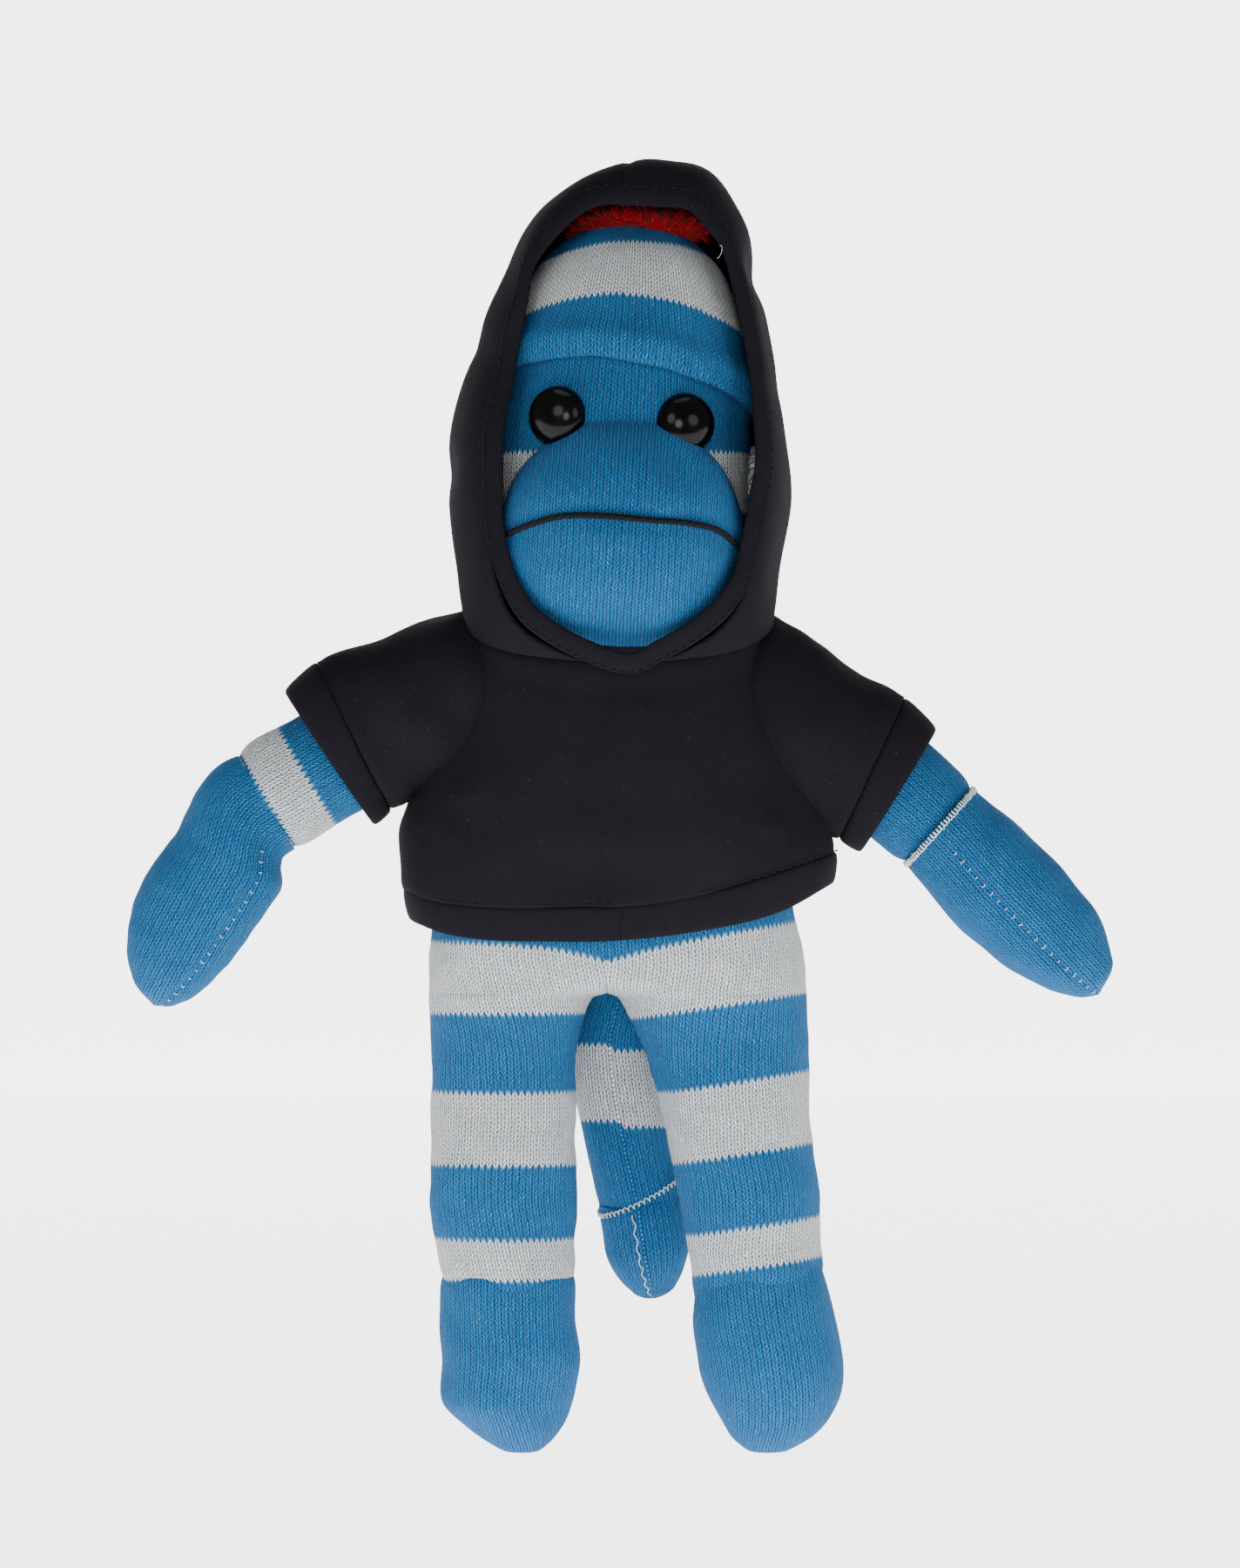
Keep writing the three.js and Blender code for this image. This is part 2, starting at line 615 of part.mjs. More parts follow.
/** The head, the muzzle, the eyes, the ears and the knitted hat, in a group that leans as the head does. */
function head() {
  const eyes = Object.keys(sides).map(eye);
  const outer = toSolid(lofted(headSections, 18));
  const clear = toSolid(lofted(grown(headSections, seamGap), 18));
  let skin = outer.subtract(toSolid(lofted(grown(headSections, -knitWall, 5, -knitWall), 18)));
  const layer = -knitWall - seamGap;
  let core = toSolid(lofted(grown(headSections, layer, -1, layer), 18));
  for (const { postRoom, washerRoom } of eyes) {
    skin = skin.subtract(postRoom);
    core = core.subtract(washerRoom);
  }
  const muzzle = (grow) => toSolid(ellipsoid(muzzleRadii, muzzlePlace, grow));
  const besideEyes = (solid, gap) =>
    largest(eyes.reduce((cut, { domeRoom }) => cut.subtract(domeRoom(gap)), solid.subtract(clear)));
  const hatRows = headSections.filter(([z]) => z > hatCuffTop + 1);
  const hatOver = (grow) => {
    const brim = sectionAt(headSections, hatCuffTop);
    const low = sectionAt(headSections, hatCuffBottom);
    const cuff = grow > seamGap ? hatCuffWall - hatWall : 0;
    const rows = [
      ...grown([low, [hatCuffTop - 1, ...sectionAt(headSections, hatCuffTop - 1).slice(1)]], grow + cuff, 0, 0),
      ...grown([brim, ...hatRows], grow, 0, grow),
    ];
    return rows;
  };
  const hatOuter = toSolid(lofted(hatOver(seamGap + hatWall), 18));
  const hatInner = toSolid(lofted([[hatCuffBottom - 3, ...hatOver(seamGap)[0].slice(1)], ...hatOver(seamGap)], 18));
  const hatRoom = toSolid(lofted(hatOver(2 * seamGap + hatWall), 18));
  const ears = Object.entries(sides).map(([side, sign]) => {
    const middle = sectionAt(headSections, earPlace[2])[3];
    const pad = toSolid(ellipsoid(earRadii, [middle + sign * earPlace[0], earPlace[1], earPlace[2]], 0, 14));
    return part(`${side}_ear`, toGeometry(largest(pad.subtract(clear))), "stripedKnit");
  });
  const group = new THREE.Group();
  group.applyMatrix4(new THREE.Matrix4().makeTranslation(0, middleY, 0).multiply(headTurned));
  group.add(
    part("head_knit", toGeometry(skin), "stripedKnit"),
    part("head_filling", toGeometry(core), "filling"),
    part("muzzle_knit", toGeometry(besideEyes(muzzle(0).subtract(muzzle(-knitWall)), 2 * seamGap)), "blueKnit"),
    part("muzzle_filling", toGeometry(besideEyes(muzzle(-knitWall - seamGap), 3 * seamGap)), "filling"),
    part("mouth_yarn", mouthYarn(), "blackYarn"),
    part("hat_knit", toGeometry(hatOuter.subtract(hatInner)), "stripedKnit"),
    part(
      "hat_pompom",
      toGeometry(largest(toSolid(ellipsoid(pompomRadii, pompomPlace, 0, 16)).subtract(hatRoom))),
      "redYarn",
    ),
    ...ears,
    ...eyes.flatMap(({ parts }) => parts),
  );
  return group;
}

/** The two side panels of the hood and the hem round the face. */
function hood() {
  const sections = hoodSections.map(([z, ...rest]) => [neckHeight + z, ...rest]);
  const opening = faceOpening.map(([x, z]) => [x, neckHeight + z]);
  const wall = grown(sections, -fleeceWall, 5, -fleeceWall);
  const back = -2; // the opening is cut through the front of the hood, as far back as this
  const muzzleRoom = toSolid(
    ellipsoid(muzzleRadii, muzzlePlace, 2 * yarnRadius + 0.3 + seamGap).applyMatrix4(headTurned),
  );
  const aboveNeckline = toSolid(halfSpace(alongNeck(necklineGap / 2), neckUp));
  const face = toSolid(prism(opening, 0, -60, back));
  const faceAndHem = toSolid(prism(opening, faceHemWidth, -60, back));
  const shoulderRooms = Object.keys(sides).map((side) => {
    const from = shoulder(side);
    return toSolid(ball(sleeveRadius + jointGap, from.x, from.y, from.z));
  });
  const shaped = (outer, inner) => {
    const layer = toSolid(lofted(outer, 28)).subtract(toSolid(lofted(inner, 28))).intersect(aboveNeckline);
    return shoulderRooms.reduce((rest, room) => rest.subtract(room), layer.subtract(muzzleRoom));
  };
  const shell = shaped(sections, wall).subtract(faceAndHem);
  const hemGap = toSolid(prism(opening, faceHemWidth - seamGap, -60, back - seamGap));
  const hem = shaped(grown(sections, hemWall - fleeceWall, 0, 0), wall).intersect(hemGap).subtract(face);
  const seam = 1.8; // the middle seam runs over the top at this X
  const half = (sign) =>
    shell.subtract(
      toSolid(halfSpace(new THREE.Vector3(seam + (sign * seamGap) / 2, 0, 0), new THREE.Vector3(-sign, 0, 0))),
    );
  return [
    part("hood_right_panel", toGeometry(largest(half(-1))), "fleece"),
    part("hood_left_panel", toGeometry(largest(half(1))), "fleece"),
    part("hood_face_hem", toGeometry(largest(hem)), "fleece"),
  ];
}

// ---------------------------------------------------------------- the whole toy

export default assembly(
  0,
  0,
  0,
  assembly(0, middleY, 0, ...torso(), ...sweatshirt(), ...hood()),
  neckThread(),
  head(),
  leg("right"),
  leg("left"),
  arm("right"),
  arm("left"),
  tail(),
);
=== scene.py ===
"""The looks of a stuffed sock monkey in a hooded sweatshirt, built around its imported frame."""

import json
import logging
import math
from dataclasses import dataclass, field
from enum import Enum
from typing import Any

import bmesh
import bpy
import numpy as np
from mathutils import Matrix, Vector

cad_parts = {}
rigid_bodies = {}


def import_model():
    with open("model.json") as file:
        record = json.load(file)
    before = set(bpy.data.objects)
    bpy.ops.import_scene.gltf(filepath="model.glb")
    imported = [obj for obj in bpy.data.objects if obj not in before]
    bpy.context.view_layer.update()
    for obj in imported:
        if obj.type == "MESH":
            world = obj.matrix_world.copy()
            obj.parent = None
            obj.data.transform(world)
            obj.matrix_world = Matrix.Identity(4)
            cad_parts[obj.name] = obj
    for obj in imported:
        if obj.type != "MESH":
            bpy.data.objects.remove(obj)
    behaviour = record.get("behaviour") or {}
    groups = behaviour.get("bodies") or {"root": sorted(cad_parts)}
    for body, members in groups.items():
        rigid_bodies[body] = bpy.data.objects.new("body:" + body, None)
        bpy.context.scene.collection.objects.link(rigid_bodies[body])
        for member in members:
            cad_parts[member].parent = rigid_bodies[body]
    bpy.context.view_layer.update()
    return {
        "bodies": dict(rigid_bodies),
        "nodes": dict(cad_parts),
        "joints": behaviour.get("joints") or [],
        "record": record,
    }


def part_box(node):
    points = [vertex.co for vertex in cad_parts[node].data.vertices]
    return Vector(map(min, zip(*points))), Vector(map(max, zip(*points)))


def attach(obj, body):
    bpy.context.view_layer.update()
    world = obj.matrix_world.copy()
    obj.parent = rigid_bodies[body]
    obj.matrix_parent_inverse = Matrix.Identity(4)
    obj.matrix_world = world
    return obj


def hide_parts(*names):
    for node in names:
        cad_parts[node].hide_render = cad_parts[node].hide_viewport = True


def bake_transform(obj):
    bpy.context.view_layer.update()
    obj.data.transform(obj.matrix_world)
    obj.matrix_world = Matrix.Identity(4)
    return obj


LOG = logging.getLogger("monkey")
MM = 0.001
WALE = 1.37  # the width of a column of stitches, mm
COURSE = 0.9  # the height of a row of stitches, mm
MIDDLE_Y = 1.2  # the middle plane of the torso and the limbs, mm

Curve = tuple[tuple[float, float], ...]
Piece = bpy.types.Object


# ---------------------------------------------------------------- shader tools


class Wire:
    """A number in a node tree, on which Python's operators do sums by adding Math nodes."""

    def __init__(self, shader: "Shader", socket: bpy.types.NodeSocket) -> None:
        """Keeps the shader that owns the socket."""
        self.shader = shader
        self.socket = socket

    def math(self, operation: str, *others: Any, clamp: bool = False) -> "Wire":
        """Adds a Math node.

        Args:
            operation: the node's operation.
            others: the second and third values, numbers or wires.
            clamp: whether the result is held between 0 and 1.

        Returns:
            The node's result.
        """
        inputs = dict(enumerate((self, *others)))
        node = self.shader.node("ShaderNodeMath", {"operation": operation, "use_clamp": clamp}, inputs)
        return Wire(self.shader, node.outputs[0])

    def __add__(self, other: Any) -> "Wire":
        """Adds."""
        return self.math("ADD", other)

    __radd__ = __add__

    def __mul__(self, other: Any) -> "Wire":
        """Multiplies."""
        return self.math("MULTIPLY", other)

    __rmul__ = __mul__

    def __sub__(self, other: Any) -> "Wire":
        """Takes away."""
        return self.math("SUBTRACT", other)

    def __rsub__(self, other: Any) -> "Wire":
        """Takes the wire away from a number."""
        return (self * -1.0) + other

    def __truediv__(self, other: float) -> "Wire":
        """Divides by a number."""
        return self * (1.0 / other)

    def whole(self) -> "Wire":
        """Gives the whole part."""
        return self.math("FLOOR")

    def part(self) -> "Wire":
        """Gives what is left above the whole part."""
        return self.math("FRACT")

    def size(self) -> "Wire":
        """Gives the value without its sign."""
        return self.math("ABSOLUTE")

    def held(self) -> "Wire":
        """Holds the value between 0 and 1."""
        return self.math("ADD", 0.0, clamp=True)


class Shader:
    """A material under construction."""

    def __init__(self, name: str) -> None:
        """Starts an empty material of this name.

        Args:
            name: the material's name.
        """
        self.material = bpy.data.materials.new(name)
        self.material.use_nodes = True
        self.tree = self.material.node_tree
        self.tree.nodes.clear()

    def node(
        self, kind: str, settings: dict[str, Any] | None = None, inputs: dict[Any, Any] | None = None,
    ) -> Any:
        """Adds any node.

        Args:
            kind: the node's type.
            settings: its own options, which are set first; stops are the (place, colour) pairs of a ramp.
            inputs: values, wires or sockets by the name or number of the input.

        Returns:
            The node.
        """
        made = self.tree.nodes.new(kind)
        for key, value in (settings or {}).items():
            if key == "stops":
                self._set_stops(made.color_ramp, value)
            elif key == "interpolation":
                made.color_ramp.interpolation = value
            else:
                setattr(made, key, value)
        for key, value in (inputs or {}).items():
            source = value.socket if isinstance(value, Wire) else value
            if isinstance(source, bpy.types.NodeSocket):
                self.tree.links.new(source, made.inputs[key])
            else:
                made.inputs[key].default_value = source
        return made

    def _set_stops(
        self, ramp: bpy.types.ColorRamp, stops: list[tuple[float, tuple[float, float, float]]],
    ) -> None:
        """Sets the stops of a ramp.

        Args:
            ramp: the ramp.
            stops: the place and the linear colour of each stop.
        """
        while len(ramp.elements) < len(stops):
            ramp.elements.new(1.0)
        for element, (place, color) in zip(ramp.elements, stops):
            element.position = place
            element.color = (*color, 1.0)

    def value(
        self, kind: str, settings: dict[str, Any] | None = None, inputs: dict[Any, Any] | None = None,
    ) -> Wire:
        """Adds a node and gives its first output as a wire."""
        return Wire(self, self.node(kind, settings, inputs).outputs[0])

    def stitches(self) -> tuple[Wire, Wire]:
        """Gives how many stitches across and up a point lies, from the mesh's own layout.

        Returns:
            Stitches across, and stitches up.
        """
        layout = self.node("ShaderNodeUVMap", {"uv_map": "stitches"})
        split = self.node("ShaderNodeSeparateXYZ", None, {0: layout.outputs[0]})
        return Wire(self, split.outputs[0]), Wire(self, split.outputs[1])

    def place(self) -> bpy.types.NodeSocket:
        """Gives the point's place on the piece, in metres."""
        return self.node("ShaderNodeTexCoord").outputs["Object"]

    def noise(self, vector: Any, scale: float, detail: float = 2.0, roughness: float = 0.5) -> Wire:
        """Gives soft noise from 0 to 1."""
        inputs = {"Vector": vector, "Scale": scale, "Detail": detail, "Roughness": roughness}
        return self.value("ShaderNodeTexNoise", None, inputs)

    def mix(self, share: Any, a: Any, b: Any, blend: str = "MIX") -> bpy.types.NodeSocket:
        """Mixes two colours."""
        settings = {"data_type": "RGBA", "blend_type": blend}
        return self.node("ShaderNodeMix", settings, {0: share, 6: a, 7: b}).outputs[2]

    def bump(
        self, height: Any, depth: float, strength: float = 1.0, under: Any = None,
    ) -> bpy.types.NodeSocket:
        """Turns a height from 0 to 1 into a normal, depth metres deep.

        Args:
            height: the height, 0 to 1.
            depth: how deep a height of 1 is, m.
            strength: the share of it that is used.
            under: a coarser normal that this one is laid over.

        Returns:
            The normal.
        """
        inputs = {"Height": height, "Distance": depth, "Strength": strength}
        if under is not None:
            inputs["Normal"] = under
        return self.node("ShaderNodeBump", None, inputs).outputs[0]

    def finish(self, constants: dict[str, Any], links: dict[str, Any]) -> bpy.types.Material:
        """Ends the material with the surface shader.

        Args:
            constants: plain numbers and colours of its sockets.
            links: what varies over the surface.

        Returns:
            The material.
        """
        surface = self.node("ShaderNodeBsdfPrincipled", None, {**constants, **links})
        self.node("ShaderNodeOutputMaterial", None, {"Surface": surface.outputs[0]})
        return self.material


def linear(red: float, green: float, blue: float) -> tuple[float, float, float]:
    """Turns a colour as the eye counts it, 0 to 255, into linear light."""
    return tuple(
        (c / 255 / 12.92) if c < 10.3 else ((c / 255 + 0.055) / 1.055) ** 2.4 for c in (red, green, blue)
    )


class Yarn(Enum):
    """The yarns of the socks: the yarn's own colour on the crown of a stitch, and painted shade between
    stitches and down in the holes.
    """

    BLUE = ((14, 124, 188), (1, 44, 92), (50, 74, 86))
    WHITE = ((240, 242, 243), (122, 128, 134), (92, 100, 106))

    def shade(self, depth: int) -> tuple[float, float, float]:
        """Gives the linear colour at a depth: 0 on the crown, 1 between stitches, 2 in a hole; depths 1 and 2
        are painted shade.
        """
        return linear(*self.value[depth])


@dataclass(frozen=True)
class KnitFinish:
    """Machine-knitted sock, in stripes that change at whole rows of stitches."""

    name: str
    # each stripe's lower edge, mm up the layout
    stripes: tuple[tuple[float, Yarn], ...] = ((0.0, Yarn.BLUE),)
    top: float = 260.0  # the end of the layout, mm
    slope: float = 1.3  # how many rows the legs of a stitch climb
    relief: float = 0.00042

    def ramp(self, depth: int) -> list[tuple[float, tuple[float, float, float]]]:
        """Gives the stops of the stripes at a depth in the knit."""
        return [(edge / self.top, yarn.shade(depth)) for edge, yarn in self.stripes]

    def material(self) -> bpy.types.Material:
        """Builds the material.

        Returns:
            The material.
        """
        s = Shader(self.name)
        across, up = s.stitches()
        where = s.place()
        wander = s.noise(where, 1000.0, 2.0) - 0.5
        waver = s.noise(where, 420.0, 1.0) - 0.5
        side = ((across + wander * 0.34 + waver * 0.2).part() - 0.5).size()
        climb = up + (0.25 - side) * (2.0 * self.slope) + wander * 0.36 + waver * 0.3
        row = climb.whole()
        along = climb.part()
        leg = (side - 0.25).size() * 4.0
        strand = (1.0 - leg.math("POWER", 2.2)).held()
        pillow = (1.0 - ((along - 0.5).size() * 2.0).math("POWER", 1.7)).held()
        height = strand * (pillow * 0.88 + 0.12)
        below = 0.5 - (along - 0.5).size()
        hole = (1.35 - (side * 6.4).math("POWER", 2.0) - (below * 3.3).math("POWER", 2.0)).held()
        fibre_place = s.node(
            "ShaderNodeCombineXYZ", None,
            {0: (side * 9.0 + along * 7.0), 1: across * 2.0, 2: climb * 0.7},
        )
        fibres = s.noise(fibre_place.outputs[0], 3.0, 3.0, 0.65)
        fuzz = s.noise(where, 5200.0, 2.0, 0.7)
        cell = s.node("ShaderNodeCombineXYZ", None, {0: (across * 2.0).whole(), 1: row})
        each = s.value(
            "ShaderNodeTexWhiteNoise", {"noise_dimensions": "2D"}, {"Vector": cell.outputs[0]},
        )
        cloudy = s.noise(where, 120.0, 2.0)
        level = (row + 0.5) * (COURSE / self.top)
        stops = {"interpolation": "CONSTANT"}
        # ramps of the yarn's colour on the crown and of painted shade between stitches and in the holes
        ramps_with_painted_shade = [{**stops, "stops": self.ramp(depth)} for depth in range(3)]
        crown, between, deep = (
            s.node("ShaderNodeValToRGB", shade, {0: level}).outputs[0] for shade in ramps_with_painted_shade
        )
        # painted shade: the colour darkens off the crown of each stitch and into its holes
        crown_over_painted_shade = (height * 1.45 + fibres * 0.4 - 0.38).held()
        base = s.mix(hole * (each * 0.5 + 0.5), s.mix(crown_over_painted_shade, between, crown), deep)
        worn = (fibres * 0.36 + fuzz * 0.24 + cloudy * 0.2 + each * 0.3 + 0.16).held()
        shade = s.mix(worn, (0.42, 0.44, 0.47, 1.0), (1.2, 1.2, 1.2, 1.0))
        color = s.mix(1.0, base, shade, "MULTIPLY")
        fine = s.bump(fibres * 0.6 + fuzz * 0.4, self.relief * 0.28, 0.7)
        normal = s.bump(height - hole * 0.35, self.relief, 1.0, fine)
        constants = {"Sheen Weight": 0.04, "Sheen Roughness": 0.6, "Specular IOR Level": 0.1}
        return s.finish(
            constants, {"Base Color": color, "Roughness": (fuzz * 0.14 + 0.8), "Normal": normal},
        )


@dataclass(frozen=True)
class FleeceFinish:
    """Black sweatshirt cloth, brushed inside, with a fine knitted face."""

    name: str = "black sweatshirt cloth"
    shade: float = 1.0

    def material(self) -> bpy.types.Material:
        """Builds the material.

        Returns:
            The material.
        """
        s = Shader(self.name)
        across, up = s.stitches()
        where = s.place()
        wander = s.noise(where, 700.0, 2.0) - 0.5
        side = ((across + wander * 0.5).part() - 0.5).size() * 2.0
        row = ((up - side * 0.9 + wander * 0.8).part() - 0.5).size() * 2.0
        weave = (1.0 - side.math("POWER", 2.0) * 0.7) * (1.0 - row.math("POWER", 2.0) * 0.5)
        fuzz = s.noise(where, 3800.0, 3.0, 0.7)
        cloudy = s.noise(where, 60.0, 3.0, 0.6)
        lint = (s.noise(where, 1500.0, 1.0) - 0.73).math("MULTIPLY", 9.0, clamp=True)
        dark = tuple(self.shade * c for c in linear(13, 12, 16))
        light = tuple(self.shade * c for c in linear(29, 28, 34))
        # painted shade in the grooves of the fine weave; the fuzz and cloudy parts are the cloth's own uneven
        # tone
        share = (weave * 0.42 + fuzz * 0.34 + cloudy * 0.5 - 0.12).held()
        color = s.mix(share, (*dark, 1.0), (*light, 1.0))
        color = s.mix(lint * 0.12, color, (*linear(120, 120, 126), 1.0))
        normal = s.bump(weave * 0.6 + fuzz * 0.5, 0.00016, 0.8, s.bump(cloudy, 0.0011, 0.5))
        constants = {"Sheen Weight": 0.0, "Sheen Roughness": 0.55, "Specular IOR Level": 0.03}
        return s.finish(
            constants, {"Base Color": color, "Roughness": (fuzz * 0.16 + 0.78), "Normal": normal},
        )


@dataclass(frozen=True)
class StrandFinish:
    """Twisted yarn or thread: plies wind round the strand, of which the layout counts the turns; the deep
    colour is painted shade in the grooves between the plies.
    """

    name: str
    color: tuple[float, float, float]
    # painted shade in the grooves between the plies
    deep: tuple[float, float, float]
    relief: float = 0.00012
    plies: float = 3.0

    def material(self) -> bpy.types.Material:
        """Builds the material.

        Returns:
            The material.
        """
        s = Shader(self.name)
        across, up = s.stitches()
        wave = ((across * self.plies + up).part() - 0.5).size() * 2.0
        ply = (1.0 - wave.math("POWER", 2.0)).held()
        fuzz = s.noise(s.place(), 6000.0, 3.0, 0.7)
        # painted shade: the deep colour fills the grooves between the plies
        share = (ply * 0.7 + fuzz * 0.5 - 0.1).held()
        color = s.mix(share, (*linear(*self.deep), 1.0), (*linear(*self.color), 1.0))
        normal = s.bump(ply * 0.8 + fuzz * 0.3, self.relief, 0.9)
        constants = {"Sheen Weight": 0.02, "Specular IOR Level": 0.1}
        return s.finish(
            constants, {"Base Color": color, "Roughness": (fuzz * 0.2 + 0.7), "Normal": normal},
        )


@dataclass(frozen=True)
class PileFinish:
    """Cut red yarn, with painted shade that darkens it towards the roots and on the core."""

    name: str = "red yarn pile"

    def material(self) -> bpy.types.Material:
        """Builds the material.

        Returns:
            The material.
        """
        s = Shader(self.name)
        _, up = s.stitches()
        where = s.place()
        clumps = s.noise(where, 500.0, 3.0, 0.6)
        fuzz = s.noise(where, 4000.0, 2.0, 0.7)
        # painted shade: darker low on the cut ends and on the core
        share = (up * 0.75 + clumps * 0.5 + fuzz * 0.3 - 0.3).held()
        color = s.mix(share, (*linear(110, 3, 12), 1.0), (*linear(212, 14, 26), 1.0))
        normal = s.bump(clumps * 0.7 + fuzz * 0.4, 0.0006, 0.8)
        constants = {"Sheen Weight": 0.08, "Specular IOR Level": 0.1}
        return s.finish(
            constants, {"Base Color": color, "Roughness": (fuzz * 0.15 + 0.82), "Normal": normal},
        )


@dataclass(frozen=True)
class PlasticFinish:
    """Moulded plastic, polished and then handled."""

    name: str
    color: tuple[float, float, float]
    gloss: float = 0.09

    def material(self) -> bpy.types.Material:
        """Builds the material.

        Returns:
            The material.
        """
        s = Shader(self.name)
        where = s.place()
        smudge = s.noise(where, 260.0, 3.0, 0.6)
        scratch = s.noise(where, 2400.0, 2.0, 0.6)
        color = linear(*self.color)
        warmer = tuple(1.8 * c + 0.002 for c in color)
        tone = s.mix((smudge * 1.4 - 0.3).held(), (*color, 1.0), (*warmer, 1.0))
        rough = smudge * 0.1 + scratch * 0.04 + self.gloss
        constants = {"Specular IOR Level": 0.13}
        return s.finish(
            constants, {"Base Color": tone, "Roughness": rough, "Normal": s.bump(smudge, 0.00003, 0.3)},
        )


@dataclass(frozen=True)
class StageFinish:
    """Pale painted board of the studio floor and backdrop."""

    name: str = "pale studio board"
    level: float = 0.86
    glow: float = 4.0

    def material(self) -> bpy.types.Material:
        """Builds the material.

        Returns:
            The material.
        """
        s = Shader(self.name)
        grain = s.noise(s.place(), 40.0, 3.0)
        light = (self.level, self.level, self.level, 1.0)
        dim = tuple(0.985 * c for c in light[:3])
        color = s.mix(grain, (*dim, 1.0), light)
        constants = {"Specular IOR Level": 0.1, "Emission Strength": self.glow}
        links = {"Base Color": color, "Roughness": grain * 0.1 + 0.85, "Emission Color": color}
        return s.finish(constants, links)


# ---------------------------------------------------------------- mesh tools


def along(curve: Curve, at: Any) -> Any:
    """Reads a smooth curve of (place, value) points.

    Args:
        curve: the points, in rising order of place.
        at: a place, or an array of them.

    Returns:
        The value there, or the array of values.
    """
    places, values = np.array(curve, float).T
    at = np.clip(np.asarray(at, float), places[0], places[-1])
    steps = np.diff(places)
    rises = np.diff(values) / steps
    slopes = np.concatenate([rises[:1], (rises[1:] + rises[:-1]) / 2, rises[-1:]])
    turning = np.concatenate([[False], rises[1:] * rises[:-1] <= 0, [False]])
    slopes[turning] = 0
    i = np.clip(np.searchsorted(places, at, side="right") - 1, 0, len(steps) - 1)
    t = (at - places[i]) / steps[i]
    low, high = values[i], values[i + 1]
    return (
        low * (2 * t**3 - 3 * t**2 + 1)
        + slopes[i] * steps[i] * (t**3 - 2 * t**2 + t)
        + high * (3 * t**2 - 2 * t**3)
        + slopes[i + 1] * steps[i] * (t**3 - t**2)
    )


def ripple(points: np.ndarray, size: float, seed: int) -> np.ndarray:
    """Gives a smooth uneven value from about -1 to 1 at each point, with bumps of about this size in
    mm.

    Args:
        points: a grid of points, mm.
        size: the size of a bump, mm.
        seed: the start of the random draws.

    Returns:
        A value for each point.
    """
    chance = np.random.default_rng(seed)
    total = np.zeros(points.shape[:-1])
    for _ in range(7):
        direction = chance.normal(size=3)
        direction *= 2 * math.pi / (size * chance.uniform(0.7, 1.6) * np.linalg.norm(direction))
        total += np.sin(points @ direction + chance.uniform(0, 2 * math.pi))
    return total / 3.2


def outward(points: np.ndarray) -> np.ndarray:
    """Gives the unit normals of a grid of points, pointing away from its middle.

    Args:
        points: a grid of points, mm.

    Returns:
        A unit normal for each point.
    """
    down = np.gradient(points, axis=0)
    side = np.gradient(points, axis=1)
    normal = np.cross(down, side)
    normal /= np.maximum(np.linalg.norm(normal, axis=-1, keepdims=True), 1e-9)
    middle = points.mean(axis=(0, 1))
    if np.sum(normal * (points - middle)) < 0:
        normal = -normal
    return normal


def softened(points: np.ndarray, amount: float, size: float, seed: int) -> np.ndarray:
    """Moves a grid in and out unevenly, as filling does, by this many mm."""
    return points + outward(points) * (ripple(points, size, seed) * amount)[..., None]


def grid_piece(
    name: str, points: np.ndarray, layout: np.ndarray, weld: float = 0.004, cut: Any = None,
) -> Piece:
    """Makes a mesh from a grid of points.

    Args:
        name: the piece's name.
        points: rows, columns and X, Y, Z in mm.
        layout: rows, columns and stitches across and up.
        weld: corners closer than this, in mm, are joined.
        cut: a point and a direction in mm; what lies that way from the point is cut off.

    Returns:
        The piece, in metres, smooth, with its faces outwards.
    """
    rows, columns = points.shape[:2]
    index = np.arange(rows * columns).reshape(rows, columns)
    quads = np.stack(
        [index[:-1, :-1], index[:-1, 1:], index[1:, 1:], index[1:, :-1]], axis=-1,
    ).reshape(-1, 4)
    mesh = bpy.data.meshes.new(name)
    mesh.from_pydata((points.reshape(-1, 3) * MM).tolist(), [], quads.tolist())
    flat_layout = layout.reshape(-1, 2)[quads.reshape(-1)]
    mesh.uv_layers.new(name="stitches").data.foreach_set("uv", flat_layout.astype(np.float32).ravel())
    work = bmesh.new()
    work.from_mesh(mesh)
    if cut is not None:
        place, direction = cut
        parts = [*work.verts, *work.edges, *work.faces]
        bmesh.ops.bisect_plane(
            work, geom=parts, plane_co=Vector(place) * MM, plane_no=Vector(direction), clear_outer=True,
        )
    bmesh.ops.remove_doubles(work, verts=work.verts, dist=weld * MM)
    bmesh.ops.dissolve_degenerate(work, edges=work.edges, dist=1e-7)
    middle = sum((v.co for v in work.verts), Vector()) / max(len(work.verts), 1)
    bmesh.ops.recalc_face_normals(work, faces=work.faces)
    if sum(f.normal.dot(f.calc_center_median() - middle) * f.calc_area() for f in work.faces) < 0:
        bmesh.ops.reverse_faces(work, faces=work.faces)
    work.to_mesh(mesh)
    work.free()
    mesh.shade_smooth()
    piece = bpy.data.objects.new(name, mesh)
    bpy.context.scene.collection.objects.link(piece)
    return piece


def joined(name: str, pieces: list[Piece], weld: float = 0.0) -> Piece:
    """Joins pieces into one, welding corners closer than this in mm.

    Args:
        name: the new piece's name.
        pieces: the pieces, which are used up.
        weld: the distance, mm.

    Returns:
        The joined piece.
    """
    work = bmesh.new()
    layers = []
    for piece in pieces:
        work.from_mesh(piece.data)
        layers.append(piece.data)
    if weld:
        bmesh.ops.remove_doubles(work, verts=work.verts, dist=weld * MM)
        bmesh.ops.recalc_face_normals(work, faces=work.faces)
    mesh = bpy.data.meshes.new(name)
    work.to_mesh(mesh)
    work.free()
    for piece in pieces:
        bpy.data.objects.remove(piece)
    for layer in layers:
        bpy.data.meshes.remove(layer)
    mesh.shade_smooth()
    made = bpy.data.objects.new(name, mesh)
    bpy.context.scene.collection.objects.link(made)
    return made


